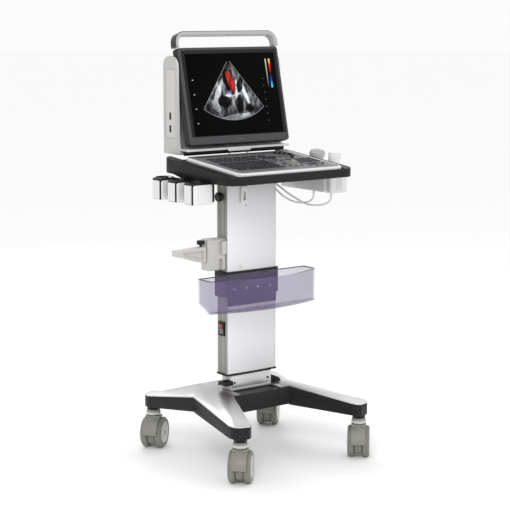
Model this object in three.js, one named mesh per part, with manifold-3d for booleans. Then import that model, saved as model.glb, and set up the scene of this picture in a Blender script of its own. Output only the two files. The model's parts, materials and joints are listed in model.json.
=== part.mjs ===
// Portable ultrasound scanner standing on a wheeled trolley.
// Millimetres, +Z up, floor at z = 0. The operator stands on the -Y side, and +X is the operator's right.
import * as THREE from 'three';
import { mergeVertices } from 'three/addons/utils/BufferGeometryUtils.js';
import Module from 'manifold-3d';

const wasm = await Module();
wasm.setup();

// ---------------------------------------------------------------- driving dimensions
const GAP = 0.3; // clearance left between pieces that touch on the real machine

// casters
const CASTER_X = 205;
const CASTER_Y = 211;
const WHEEL_RADIUS = 44;
const WHEEL_WIDTH = 20;
const WHEEL_SPACING = 41; // between the mid planes of a caster's two wheels
const CASTER_TRAIL = 8; // wheel axle behind the swivel axis
const AXLE_RADIUS = 4;
const STEM_TOP = 113.7;

// base
const NOTCH = { x: 167, y: 66, width: 1, top: 173 }; // where the two arms of one side meet
const HUB_HALF_WIDTH = 98;
const HUB_FRONT_Y = -31;
const HUB_REAR_Y = 140;
const HUB_TOP = 186;
const HUB_BOTTOM = 131;
const ARM_TIP_TOP = 160;
const ARM_TIP_BOTTOM = 124;
const COVER_THICKNESS = 4;
const BOSS_BOTTOM = 114;

// column
const SLEEVE = { halfWidth: 85, front: 14.7, rear: 64, bottom: 233.3, top: 785 };
const SLEEVE_WALL = 5;
const MAST = { halfWidth: 66, front: 23, rear: 57, top: 690 };
const FOOT_TOP = 226;

// tray and keyboard
const TRAY = { halfWidth: 211, front: -180, rear: 147, bottom: 787, cornerRadius: 34 };
const TRAY_FRONT_TOP = 811;
const TRAY_REAR_TOP = 842;
const KEYBOARD_TILT = THREE.MathUtils.degToRad(5.6);
const KEYBOARD = { halfWidth: 178, front: -172, rear: 106, thickness: 19, frontTop: 818 };

// main unit and display
const UNIT = { halfWidth: 178, front: 112, rear: 187, bottom: 846.5, top: 1116 };
const SIDE_WALL = 5.5;
const LEDGE_TOP = 863; // the display swings just above this ledge
const HINGE = { y: 95.5, z: 850.5 }; // barrel between the main unit and the keyboard
const DISPLAY_TILT = THREE.MathUtils.degToRad(13);
const DISPLAY_CENTRE = new THREE.Vector3(0, 94.6, 1009.3);
const SCREEN = { width: 304, height: 228 };
const BEZEL = { halfWidth: 169, bottom: -137, top: 131.5 };
const DISPLAY_DEPTH = 28;
const HANDLE_TOP = 178; // height of the handle's outer edge above the screen centre, in the display's plane

// probe holders
const CUP_X = 231;
const CUP_YS = [-52, 26, 101];
const CUP = { width: 66, depth: 54, bottom: 733, top: 790 };

// basket
const BASKET = { halfWidth: 184, rear: 12, endFront: -40, bow: 33, top: 516, frontBottom: 425, rearBottom: 450 };
const BASKET_WALL = 3;

// side arm and its clamp
const CLAMP = { inner: -86, outer: -146, front: 20, rear: 60, bottom: 532, top: 618 };

// probe cables
const CABLE_DIAMETER = 5.5;

// ---------------------------------------------------------------- finishes
function finish(color, roughness, metalness = 0) {
  return new THREE.MeshStandardMaterial({ color, roughness, metalness });
}
const blackPlastic = finish(0x232226, 0.45);
const deepBlack = finish(0x141316, 0.5);
const silverPaint = finish(0xd2d1d2, 0.28, 0.55);
const sleevePaint = finish(0xd8d6d9, 0.35, 0.35);
const whitePlastic = finish(0xeceaea, 0.38);
const greyPlastic = finish(0x8e8e86, 0.55);
const steel = finish(0xb9b9bb, 0.3, 0.9);
const tyreGrey = finish(0x83837c, 0.6);
const violetAcrylic = finish(0xb3a6c6, 0.12);
const screenGlass = finish(0x0b0b0f, 0.15);
const bezelGrey = finish(0x4b494c, 0.5);
const panelGrey = finish(0x6d6a70, 0.45);
const keyGrey = finish(0x3a383d, 0.5);
const cableGrey = finish(0xd6d8d2, 0.5);
const probeGrey = finish(0x9a9b98, 0.5);
const rockerRed = finish(0xa33a30, 0.4);

// ---------------------------------------------------------------- solid helpers
/** A manifold-3d solid from a closed three.js geometry. */
function solid(shape) {
  if (shape instanceof wasm.Manifold) return shape;
  const bare = shape.clone();
  bare.deleteAttribute('normal');
  bare.deleteAttribute('uv');
  const merged = mergeVertices(bare, 1e-4);
  return new wasm.Manifold(new wasm.Mesh({
    numProp: 3,
    vertProperties: Float32Array.from(merged.attributes.position.array),
    triVerts: Uint32Array.from(merged.index.array),
  }));
}

/** A three.js geometry from a manifold-3d solid. */
function geometryOf(body) {
  const mesh = body.getMesh();
  const geometry = new THREE.BufferGeometry();
  geometry.setAttribute('position', new THREE.BufferAttribute(Float32Array.from(mesh.vertProperties), 3));
  geometry.setIndex(new THREE.BufferAttribute(Uint32Array.from(mesh.triVerts), 1));
  return geometry;
}

function join(...pieces) {
  return pieces.map(solid).reduce((whole, piece) => whole.add(piece));
}

function cut(body, ...tools) {
  return tools.map(solid).reduce((rest, tool) => rest.subtract(tool), solid(body));
}

function common(body, other) {
  return solid(body).intersect(solid(other));
}

/** A box between two opposite corners. */
function block(x0, x1, y0, y1, z0, z1) {
  const box = new THREE.BoxGeometry(x1 - x0, y1 - y0, z1 - z0);
  return box.translate((x0 + x1) / 2, (y0 + y1) / 2, (z0 + z1) / 2);
}

/** A rectangle outline with rounded corners, centred on (cx, cy). */
function roundedRect(width, height, radius, cx = 0, cy = 0) {
  const shape = new THREE.Shape();
  const [w, h] = [width / 2, height / 2];
  shape.moveTo(cx - w + radius, cy - h);
  shape.lineTo(cx + w - radius, cy - h);
  shape.absarc(cx + w - radius, cy - h + radius, radius, -Math.PI / 2, 0);
  shape.lineTo(cx + w, cy + h - radius);
  shape.absarc(cx + w - radius, cy + h - radius, radius, 0, Math.PI / 2);
  shape.lineTo(cx - w + radius, cy + h);
  shape.absarc(cx - w + radius, cy + h - radius, radius, Math.PI / 2, Math.PI);
  shape.lineTo(cx - w, cy - h + radius);
  shape.absarc(cx - w + radius, cy - h + radius, radius, Math.PI, 1.5 * Math.PI);
  return shape;
}

function outline(points) {
  return new THREE.Shape(points.map(([x, y]) => new THREE.Vector2(x, y)));
}

/** A shape in the XY plane raised from z0 to z1. */
function raise(shape, z0, z1, curveSegments = 4, bevel = 0) {
  const options = { depth: z1 - z0 - 2 * bevel, curveSegments, bevelEnabled: bevel > 0 };
  if (bevel > 0) {
    Object.assign(options, { bevelThickness: bevel, bevelSize: bevel, bevelOffset: -bevel, bevelSegments: 1 });
  }
  return new THREE.ExtrudeGeometry(shape, options).translate(0, 0, z0 + bevel);
}

/** A side profile given as (y, z) points, drawn across from x0 to x1. */
function across(shape, x0, x1, curveSegments = 4, bevel = 0) {
  const bar = raise(shape, x0, x1, curveSegments, bevel);
  return bar.applyMatrix4(new THREE.Matrix4().set(0, 0, 1, 0, 1, 0, 0, 0, 0, 1, 0, 0, 0, 0, 0, 1));
}

/** A front profile given as (x, z) points, drawn from y0 back to y1. */
function backward(shape, y0, y1, curveSegments = 4, bevel = 0) {
  const plate = raise(shape, 0, y1 - y0, curveSegments, bevel);
  return plate.rotateX(Math.PI / 2).translate(0, y1, 0);
}

/** A closed profile of (radius, height) points turned about Z. */
function turned(points, segments = 20) {
  const profile = points.map(([r, z]) => new THREE.Vector2(r, z));
  return new THREE.LatheGeometry(profile, segments).rotateX(Math.PI / 2);
}

function rod(radius, length, segments = 16) {
  return new THREE.CylinderGeometry(radius, radius, length, segments).rotateX(Math.PI / 2);
}

/** A closed body skinned over rings that all have the same number of points. */
function loft(rings) {
  const count = rings[0].length;
  const positions = [];
  const face = (a, b, c) => positions.push(...a, ...b, ...c);
  const span = (a, b) => Math.hypot(a[0] - b[0], a[1] - b[1], a[2] - b[2]);
  for (let ring = 0; ring + 1 < rings.length; ring += 1) {
    for (let i = 0; i < count; i += 1) {
      const j = (i + 1) % count;
      const [a, b, c, d] = [rings[ring][i], rings[ring][j], rings[ring + 1][j], rings[ring + 1][i]];
      // a twisted patch folds along its shorter diagonal, so a thin skin's two sides fold alike
      if (span(a, c) <= span(b, d)) {
        face(a, b, c);
        face(a, c, d);
      } else {
        face(a, b, d);
        face(b, c, d);
      }
    }
  }
  const first = rings[0];
  const last = rings[rings.length - 1];
  for (let i = 1; i + 1 < count; i += 1) {
    face(first[0], first[i + 1], first[i]);
    face(last[0], last[i], last[i + 1]);
  }
  const geometry = new THREE.BufferGeometry();
  geometry.setAttribute('position', new THREE.Float32BufferAttribute(positions, 3));
  const body = solid(geometry);
  return body.volume() > 0 ? body : solid(flipped(geometry));
}

function flipped(geometry) {
  const turnedOver = geometry.clone();
  const p = turnedOver.attributes.position;
  const spare = new THREE.Vector3();
  const other = new THREE.Vector3();
  for (let i = 0; i < p.count; i += 3) {
    spare.fromBufferAttribute(p, i + 1);
    other.fromBufferAttribute(p, i + 2);
    p.setXYZ(i + 1, ...other);
    p.setXYZ(i + 2, ...spare);
  }
  return turnedOver;
}

/** A closed round tube along a smooth route. */
function tube(route, diameter, sides, steps) {
  const path = new THREE.CatmullRomCurve3(route.map((p) => new THREE.Vector3(...p)), false, 'centripetal');
  const section = new THREE.Shape();
  for (let i = 0; i < sides; i += 1) {
    const angle = (2 * Math.PI * i) / sides;
    const point = [Math.cos(angle) * diameter / 2, Math.sin(angle) * diameter / 2];
    if (i === 0) section.moveTo(...point);
    else section.lineTo(...point);
  }
  return new THREE.ExtrudeGeometry(section, { steps, extrudePath: path, bevelEnabled: false });
}

const machine = new THREE.Group();

/** Adds one named piece to a group. */
function part(name, shape, material, home = machine) {
  const geometry = shape instanceof wasm.Manifold ? geometryOf(shape) : shape;
  const mesh = new THREE.Mesh(geometry, material);
  mesh.name = name;
  home.add(mesh);
  return mesh;
}

// ---------------------------------------------------------------- base
/** One arm of the base as rings of (outer, inner) section corners from the hub to the tip. */
function armRings(sx, sy, dropTop, dropBottom) {
  const rear = sy > 0;
  const throatY = rear ? HUB_REAR_Y : HUB_FRONT_Y;
  const notchY = NOTCH.y + (rear ? NOTCH.width : -NOTCH.width) / 2;
  const stations = [
    { o: [NOTCH.x, notchY], i: [HUB_HALF_WIDTH, throatY], oz: NOTCH.top, iz: HUB_TOP, bottom: HUB_BOTTOM - 2 },
    { o: [232, sy * 198], i: [176, sy * 214], oz: ARM_TIP_TOP, iz: ARM_TIP_TOP + 1, bottom: ARM_TIP_BOTTOM },
    { o: [230, sy * 216], i: [182, sy * 229], oz: ARM_TIP_TOP, iz: ARM_TIP_TOP, bottom: ARM_TIP_BOTTOM },
    { o: [220, sy * 229], i: [193, sy * 236], oz: ARM_TIP_TOP, iz: ARM_TIP_TOP, bottom: ARM_TIP_BOTTOM },
  ];
  return stations.map(({ o, i, oz, iz, bottom }) => {
    const low = dropBottom === null ? [bottom, bottom] : [oz - dropBottom, iz - dropBottom];
    return [
      [sx * o[0], o[1], low[0]],
      [sx * o[0], o[1], oz - dropTop],
      [sx * i[0], i[1], iz - dropTop],
      [sx * i[0], i[1], low[1]],
    ];
  });
}

/** The raised middle of the base: flat over the column, sloping down to the two side notches. */
function hub(dropTop, dropBottom) {
  const top = (z) => z - dropTop;
  const low = (z, bottom) => (dropBottom === null ? bottom : z - dropBottom);
  const w = HUB_HALF_WIDTH;
  const section = (x, y0, y1, z) => [
    [x, y0, low(z, HUB_BOTTOM)],
    [x, y1, low(z, HUB_BOTTOM)],
    [x, y1, top(z)],
    [x, y0, top(z)],
  ];
  const half = NOTCH.width / 2;
  const notch = (sx) => section(sx * NOTCH.x, NOTCH.y - half, NOTCH.y + half, NOTCH.top);
  return loft([
    notch(-1),
    section(-w, HUB_FRONT_Y, HUB_REAR_Y, HUB_TOP),
    section(w, HUB_FRONT_Y, HUB_REAR_Y, HUB_TOP),
    notch(1),
  ]);
}

function baseLayer(dropTop, dropBottom) {
  const arms = [];
  for (const sx of [-1, 1]) {
    for (const sy of [-1, 1]) {
      arms.push(loft(armRings(sx, sy, dropTop, dropBottom)));
    }
  }
  return join(hub(dropTop, dropBottom), ...arms);
}

const bosses = [];
for (const sx of [-1, 1]) {
  for (const sy of [-1, 1]) {
    const boss = turned([[0, BOSS_BOTTOM], [17, BOSS_BOTTOM], [20, ARM_TIP_BOTTOM + 1], [0, ARM_TIP_BOTTOM + 1]], 16);
    bosses.push(boss.translate(sx * CASTER_X, sy * CASTER_Y, 0));
  }
}
const apron = block(-72, 66, HUB_FRONT_Y - 10, SLEEVE.front, HUB_TOP - 20, HUB_TOP + 10);
part('base_frame', join(baseLayer(COVER_THICKNESS + GAP, null), ...bosses), blackPlastic);
part('base_top_cover', cut(baseLayer(0, COVER_THICKNESS), apron), silverPaint);

const footShape = roundedRect(142, 44, 3, 0, 40);
const mastHole = roundedRect(2 * MAST.halfWidth + 1, MAST.rear - MAST.front + 1, 0.4, 0, (MAST.front + MAST.rear) / 2);
footShape.holes.push(mastHole);
part('column_foot', raise(footShape, HUB_TOP + GAP, FOOT_TOP, 2), whitePlastic);
part('foot_gusset', backward(outline([[72, HUB_TOP + GAP], [112, HUB_TOP + GAP], [104, 198], [72, 212]]), 24, 56), deepBlack);

/** Mast extrusion with a sliding groove down each side and two down the front. */
function mastOutline() {
  const shape = new THREE.Shape();
  const { halfWidth: w, front, rear } = MAST;
  const middle = (front + rear) / 2;
  shape.moveTo(-w, front);
  for (const x of [-36, 28]) {
    shape.lineTo(x, front);
    shape.lineTo(x, front + 4);
    shape.lineTo(x + 8, front + 4);
    shape.lineTo(x + 8, front);
  }
  shape.lineTo(w, front);
  shape.lineTo(w, middle - 5);
  shape.lineTo(w - 5, middle - 5);
  shape.lineTo(w - 5, middle + 5);
  shape.lineTo(w, middle + 5);
  shape.lineTo(w, rear);
  shape.lineTo(-w, rear);
  shape.lineTo(-w, middle + 5);
  shape.lineTo(-w + 5, middle + 5);
  shape.lineTo(-w + 5, middle - 5);
  shape.lineTo(-w, middle - 5);
  return shape;
}
part('inner_mast', raise(mastOutline(), HUB_TOP + GAP, MAST.top), steel);

// the height release pedal at the left foot of the column
const pedalArm = across(outline([[26, 205], [50, 197], [50, 209], [26, 217]]), -92, -72.5);
const pedalPad = across(roundedRect(26, 12, 4, 16, 209), -98, -72.5, 3);
part('release_pedal', join(pedalArm, pedalPad), deepBlack);

// ---------------------------------------------------------------- casters
const CASTERS = [
  { name: 'front_left', sx: -1, sy: -1, yaw: -44 },
  { name: 'front_right', sx: 1, sy: -1, yaw: -42 },
  { name: 'rear_left', sx: -1, sy: 1, yaw: -52 },
  { name: 'rear_right', sx: 1, sy: 1, yaw: -44 },
];

/** Twin-wheel caster horn: stem, web between the wheels and curved fender. Local X is the axle. */
function casterFork() {
  const hoodOuter = 50;
  const hoodInner = 45.2;
  const arc = new THREE.Shape();
  arc.absarc(0, 0, hoodOuter, Math.PI - 0.02, 0.42 * Math.PI, true);
  arc.absarc(0, 0, hoodInner, 0.42 * Math.PI, Math.PI - 0.02, false);
  const fender = across(arc, -20.5, 20.5, 7).translate(0, CASTER_TRAIL, WHEEL_RADIUS);
  const webShape = new THREE.Shape();
  webShape.absarc(0, 0, 38, 0, 2 * Math.PI);
  const webHalf = (WHEEL_SPACING - WHEEL_WIDTH) / 2 - 0.8;
  const web = across(webShape, -webHalf, webHalf, 5).translate(0, CASTER_TRAIL, WHEEL_RADIUS);
  const bridge = block(-webHalf, webHalf, -18, CASTER_TRAIL, WHEEL_RADIUS + 20, WHEEL_RADIUS + 47);
  const brow = block(-20.5, 20.5, -14, CASTER_TRAIL + 6, WHEEL_RADIUS + 45.5, WHEEL_RADIUS + 52);
  const stem = turned([[0, 80], [9.6, 80], [9.6, 89], [13, 90], [13, 97], [19, 99], [19, STEM_TOP], [0, STEM_TOP]], 14);
  const axle = rod(AXLE_RADIUS, WHEEL_SPACING + WHEEL_WIDTH - 8, 10).rotateY(Math.PI / 2);
  return join(fender, web, bridge, brow, stem, axle.translate(0, CASTER_TRAIL, WHEEL_RADIUS));
}

/** One wheel turned about its axle, local X, with a recessed hub disc on the outside. */
function casterWheel(side) {
  const w = WHEEL_WIDTH / 2;
  const bore = AXLE_RADIUS + 0.2;
  const profile = [[bore, -w + 1], [36, -w], [WHEEL_RADIUS, -w + 4], [WHEEL_RADIUS, w - 4], [40, w],
    [35, w], [33, w - 2], [bore, w - 0.5], [bore, -w + 1]];
  const wheel = turned(profile, 20);
  wheel.rotateY(side > 0 ? Math.PI / 2 : -Math.PI / 2);
  return wheel;
}

const fork = casterFork();
for (const { name, sx, sy, yaw } of CASTERS) {
  const caster = new THREE.Group();
  caster.position.set(sx * CASTER_X, sy * CASTER_Y, 0);
  caster.rotation.z = THREE.MathUtils.degToRad(yaw);
  machine.add(caster);
  part(`caster_horn_${name}`, fork, greyPlastic, caster);
  for (const [label, side] of [['left', -1], ['right', 1]]) {
    const wheel = part(`caster_wheel_${name}_${label}`, casterWheel(side), tyreGrey, caster);
    wheel.position.set(side * WHEEL_SPACING / 2, CASTER_TRAIL, WHEEL_RADIUS);
  }
}

// ---------------------------------------------------------------- column
/** Sleeve outline: bowed front face and a shallow groove down each side. */
function sleeveOutline(halfWidth, front, rear, bow, groove) {
  const shape = new THREE.Shape();
  const middle = (front + rear) / 2;
  shape.moveTo(-halfWidth, front + bow);
  shape.quadraticCurveTo(-halfWidth, front + bow / 2, -halfWidth + 5, front + bow / 2);
  shape.quadraticCurveTo(0, front - bow / 2, halfWidth - 5, front + bow / 2);
  shape.quadraticCurveTo(halfWidth, front + bow / 2, halfWidth, front + bow);
  if (groove > 0) {
    shape.lineTo(halfWidth, middle - 16);
    shape.lineTo(halfWidth - groove, middle - 14.5);
    shape.lineTo(halfWidth - groove, middle + 14.5);
    shape.lineTo(halfWidth, middle + 16);
  }
  shape.lineTo(halfWidth, rear - 4);
  shape.quadraticCurveTo(halfWidth, rear, halfWidth - 4, rear);
  shape.lineTo(-halfWidth + 4, rear);
  shape.quadraticCurveTo(-halfWidth, rear, -halfWidth, rear - 4);
  if (groove > 0) {
    shape.lineTo(-halfWidth, middle + 16);
    shape.lineTo(-halfWidth + groove, middle + 14.5);
    shape.lineTo(-halfWidth + groove, middle - 14.5);
    shape.lineTo(-halfWidth, middle - 16);
  }
  return shape;
}
const sleeveHole = roundedRect(2 * MAST.halfWidth + 4, MAST.rear - MAST.front + 4, 2, 0, 40);
const sleeveShape = sleeveOutline(SLEEVE.halfWidth, SLEEVE.front, SLEEVE.rear, 3, 1.5);
sleeveShape.holes.push(sleeveHole);
part('column_sleeve', raise(sleeveShape, SLEEVE.bottom, SLEEVE.top, 6), sleevePaint);

const wiperShape = sleeveOutline(SLEEVE.halfWidth + 2, SLEEVE.front - 2, SLEEVE.rear + 2, 3, 0);
wiperShape.holes.push(roundedRect(2 * MAST.halfWidth + 2, MAST.rear - MAST.front + 2, 0.6, 0, 40));
part('sleeve_wiper', raise(wiperShape, SLEEVE.bottom - GAP - 4.5, SLEEVE.bottom - GAP, 4), deepBlack);

/** Hexagonal-grip knob whose axis points out of the column's left side. */
function lockKnob() {
  const lobes = 6;
  const shape = new THREE.Shape();
  for (let i = 0; i <= lobes * 4; i += 1) {
    const angle = (2 * Math.PI * i) / (lobes * 4);
    const r = 13 - 1.2 * Math.cos(lobes * angle) ** 2;
    if (i === 0) shape.moveTo(r, 0);
    else shape.lineTo(r * Math.cos(angle), r * Math.sin(angle));
  }
  const grip = raise(shape, 4, 18, 1, 1.5);
  const shank = rod(6, 5, 14).translate(0, 0, 2.5);
  return join(grip, shank).rotate([0, -90, 0]);
}
const knob = part('lock_knob', lockKnob(), deepBlack);
knob.position.set(-SLEEVE.halfWidth + 1.5 - GAP, 39, 732);

const inletFrame = cut(
  block(-SLEEVE.halfWidth - 3, -SLEEVE.halfWidth + 1.2, 26, 54, 341, 381),
  block(-SLEEVE.halfWidth - 4, -SLEEVE.halfWidth - 1, 30, 50, 344, 358),
  block(-SLEEVE.halfWidth - 4, -SLEEVE.halfWidth - 0.5, 31, 49, 362, 377),
);
part('power_inlet', inletFrame, deepBlack);
part('power_rocker', across(outline([[31.6, 363.2], [48.4, 363.2], [48.4, 375.8], [31.6, 375.8]]), -90.5, -87), rockerRed);

// slotted white tab that hangs below the front edge of the tray
const tab = cut(block(-40, -17, 9.5, 13.8, 714, 760), block(-33, -24, 8, 15, 722, 746));
part('cable_tab', tab, whitePlastic);

// ---------------------------------------------------------------- basket
function basketPlan(inset) {
  const w = BASKET.halfWidth - inset;
  const rear = BASKET.rear - inset;
  const end = BASKET.endFront + inset;
  const shape = new THREE.Shape();
  shape.moveTo(-w, rear);
  shape.lineTo(-w, end + 6);
  shape.quadraticCurveTo(-w, end, -w + 8, end - 3);
  shape.quadraticCurveTo(0, end - 2 * BASKET.bow, w - 8, end - 3);
  shape.quadraticCurveTo(w, end, w, end + 6);
  shape.lineTo(w, rear);
  return shape;
}

function basketBody(inset, top) {
  const walls = raise(basketPlan(inset), BASKET.frontBottom, top, 10);
  const { rear, frontBottom, rearBottom } = BASKET;
  const side = outline([[-90, frontBottom + inset], [-40, frontBottom + inset], [rear + 5, rearBottom + inset],
    [rear + 5, top], [-90, top]]);
  return common(walls, across(side, -200, 200));
}
const basketRim = across(outline([[-90, 512], [BASKET.rear, BASKET.top + 4], [BASKET.rear, 560], [-90, 560]]), -200, 200);
part('basket', cut(basketBody(0, BASKET.top + 1), basketBody(BASKET_WALL, BASKET.top + 30), basketRim), violetAcrylic);

const bracketShape = sleeveOutline(SLEEVE.halfWidth + 6, SLEEVE.front - 2.2, SLEEVE.rear + 5, 1, 0);
bracketShape.holes.push(sleeveOutline(SLEEVE.halfWidth + GAP, SLEEVE.front - GAP, SLEEVE.rear + GAP, 3, 0));
part('basket_bracket', raise(bracketShape, 452, 524, 3), deepBlack);

// ---------------------------------------------------------------- side arm
const clampShape = new THREE.Shape();
clampShape.moveTo(CLAMP.inner, CLAMP.front);
clampShape.lineTo(CLAMP.inner, CLAMP.rear);
clampShape.lineTo(CLAMP.outer + 14, CLAMP.rear);
clampShape.quadraticCurveTo(CLAMP.outer, CLAMP.rear, CLAMP.outer, CLAMP.rear - 12);
clampShape.lineTo(CLAMP.outer, CLAMP.front + 8);
clampShape.quadraticCurveTo(CLAMP.outer, CLAMP.front, CLAMP.outer + 10, CLAMP.front);
const clampBlock = raise(clampShape, CLAMP.bottom, CLAMP.top, 4, 1.5);
const clampSlot = block(-108, -96, CLAMP.front - 5, CLAMP.front + 9, CLAMP.bottom - 5, CLAMP.bottom + 30);
const clampWell = rod(9, 20, 14).translate(-110, 36, CLAMP.top);
part('clamp_body', cut(clampBlock, clampSlot, clampWell), whitePlastic);
part('clamp_lever', across(roundedRect(9, 38, 3.5, 15, 594), -103, -89, 3), whitePlastic);

/** Tapered blade: deep at the knob, thin at the tip, with a rounded upper edge. */
function sideArm() {
  const blade = backward(outline([[-151, 601], [-151, 556], [-185, 562], [-228, 576], [-248, 581], [-250, 597]]), 20, 42);
  const relief = backward(outline([[-160, 590], [-160, 566], [-186, 571], [-222, 582], [-226, 590]]), 15, 26);
  return cut(blade, relief);
}
part('side_arm', sideArm(), whitePlastic);
part('side_arm_knob', turned([[0, 0], [4, 0], [4, 4], [11, 6], [11, 15], [9, 17], [0, 17]], 14)
  .translate(-162, 31, 601.4), deepBlack);

// ---------------------------------------------------------------- tray
const trayMiddle = (TRAY.front + TRAY.rear) / 2;
const trayPlan = roundedRect(2 * TRAY.halfWidth, TRAY.rear - TRAY.front, TRAY.cornerRadius, 0, trayMiddle);
const traySide = outline([[TRAY.front, 788], [30, TRAY.bottom - 1], [90, 798], [TRAY.rear, 800],
  [TRAY.rear, TRAY_REAR_TOP], [TRAY.front, TRAY_FRONT_TOP]]);
const trayWell = new THREE.BoxGeometry(2 * KEYBOARD.halfWidth + 6, 420, 60);
trayWell.translate(0, 210, 30).rotateX(KEYBOARD_TILT).translate(0, TRAY.front + 5, KEYBOARD.frontTop - KEYBOARD.thickness - 1);
const trayBody = common(raise(trayPlan, 780, 860, 5), across(traySide, -TRAY.halfWidth, TRAY.halfWidth));
const trayFrontLip = block(-300, 300, TRAY.front - 5, TRAY.front + 6, 700, 900);
part('tray', cut(trayBody, cut(trayWell, trayFrontLip)), blackPlastic);

// square eye under the rear of the tray that carries the probe cables
const HOOK = { x: 108, y: 101, sill: 754.5, top: 795.5 };
const hookPlate = block(HOOK.x - 4, HOOK.x + 4, HOOK.y - 21.5, HOOK.y + 21.5, HOOK.sill - 6, HOOK.top);
const hookEye = block(HOOK.x - 6, HOOK.x + 6, HOOK.y - 17, HOOK.y + 17, HOOK.sill, HOOK.sill + 33);
part('cable_hook', cut(hookPlate, hookEye), deepBlack);

// ---------------------------------------------------------------- probe holders
/** Three probe wells in one moulding with a chamfered outer side and a rail to the tray. */
function holderMoulding(side) {
  const pieces = [];
  for (const y of CUP_YS) {
    const plan = outline([[-33, -27], [33, -27], [33, 27], [-18, 27], [-33, 10]]);
    const cup = raise(plan, CUP.bottom, CUP.top, 3, 2);
    pieces.push(cup.translate(-CUP_X, y, 0));
  }
  const rail = block(-200.6, -187, CUP_YS[0] - 20, CUP_YS[2] + 24, CUP.bottom + 3, CUP.top - 3.3);
  let holder = join(...pieces, rail);
  for (const y of CUP_YS) {
    const well = turned([[0, CUP.bottom + 8], [16.5, CUP.bottom + 8], [22, CUP.top + 2], [0, CUP.top + 2]], 16);
    const drain = rod(11.5, 40, 14).translate(-CUP_X, y, CUP.bottom);
    holder = cut(holder, well.translate(-CUP_X, y, 0), drain);
  }
  const underTray = block(-TRAY.halfWidth - 1, -180, -200, 200, TRAY.bottom - 1 - GAP, 900);
  holder = cut(holder, underTray);
  return side < 0 ? holder : holder.mirror([1, 0, 0]);
}

/** Bowed front cover of one probe cup. */
function cupCover() {
  const plan = new THREE.Shape();
  plan.moveTo(-30, 0);
  plan.quadraticCurveTo(-31, -3, -27, -4);
  plan.quadraticCurveTo(0, -9, 27, -4);
  plan.quadraticCurveTo(31, -3, 30, 0);
  const bowed = raise(plan, CUP.bottom - 1, CUP.top - 5, 5);
  return common(bowed, backward(roundedRect(62, 54, 8, 0, (CUP.bottom + CUP.top) / 2 - 3), -12, 4, 4));
}

for (const [label, side] of [['left', -1], ['right', 1]]) {
  part(`holder_${label}`, holderMoulding(side), deepBlack);
  CUP_YS.forEach((y, i) => {
    const cover = part(`cup_cover_${label}_${i + 1}`, cupCover(), whitePlastic);
    cover.position.set(side * CUP_X, y - 27 - GAP, 0);
  });
}

// ---------------------------------------------------------------- main unit
const unitSide = new THREE.Shape();
unitSide.moveTo(UNIT.rear, UNIT.bottom);
unitSide.lineTo(UNIT.rear, UNIT.top - 26);
unitSide.quadraticCurveTo(UNIT.rear - 2, UNIT.top, UNIT.rear - 34, UNIT.top);
unitSide.quadraticCurveTo(UNIT.front + 6, UNIT.top, UNIT.front + 4, UNIT.top - 30);
unitSide.lineTo(UNIT.front, 900);
unitSide.lineTo(UNIT.front - 3, LEDGE_TOP);
unitSide.lineTo(76, LEDGE_TOP);
unitSide.lineTo(73, LEDGE_TOP - 3);
unitSide.lineTo(73, LEDGE_TOP - 6);
unitSide.lineTo(103, LEDGE_TOP - 6);
unitSide.lineTo(106, UNIT.bottom);
const unitBlock = across(unitSide, -UNIT.halfWidth, UNIT.halfWidth, 5, 2);
const bay = block(-UNIT.halfWidth + SIDE_WALL, UNIT.halfWidth - SIDE_WALL, 40, 168, LEDGE_TOP, 1200);
const sideRecess = [];
for (const sx of [-1, 1]) {
  const panel = across(roundedRect(46, 190, 10, 152, 985), 0, 1.5, 4);
  sideRecess.push(panel.translate(sx > 0 ? UNIT.halfWidth - 1.5 : -UNIT.halfWidth, 0, 0));
}
part('main_casing', cut(unitBlock, bay, ...sideRecess), whitePlastic);
part('hinge_barrel', rod(6, 340, 14).rotateY(Math.PI / 2).translate(0, HINGE.y, HINGE.z), deepBlack);

// ---------------------------------------------------------------- display
const display = new THREE.Group();
display.position.copy(DISPLAY_CENTRE);
display.rotation.x = -DISPLAY_TILT;
machine.add(display);
const bezelHeight = BEZEL.top - BEZEL.bottom;
const bezelMiddle = (BEZEL.top + BEZEL.bottom) / 2;

// in the display's own frame: X right, Z up the screen, -Y out of the glass
const shellShape = roundedRect(2 * BEZEL.halfWidth + 3, bezelHeight + 3, 10, 0, bezelMiddle);
const shellBlock = backward(shellShape, 6 + GAP, DISPLAY_DEPTH, 4, 2);
part('display_shell', shellBlock, deepBlack, display);
const bezelShape = roundedRect(2 * BEZEL.halfWidth, bezelHeight, 8, 0, bezelMiddle);
const bezelPlate = backward(bezelShape, -1, 6, 4, 1);
const glassPocket = backward(roundedRect(SCREEN.width, SCREEN.height, 1, 0, 0), -5, 3, 2);
part('display_bezel', cut(bezelPlate, glassPocket), bezelGrey, display);
const glass = backward(roundedRect(SCREEN.width - 2 * GAP, SCREEN.height - 2 * GAP, 0.8, 0, 0), 0, 3 - GAP, 2);
part('lcd_panel', glass, screenGlass, display);

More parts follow.
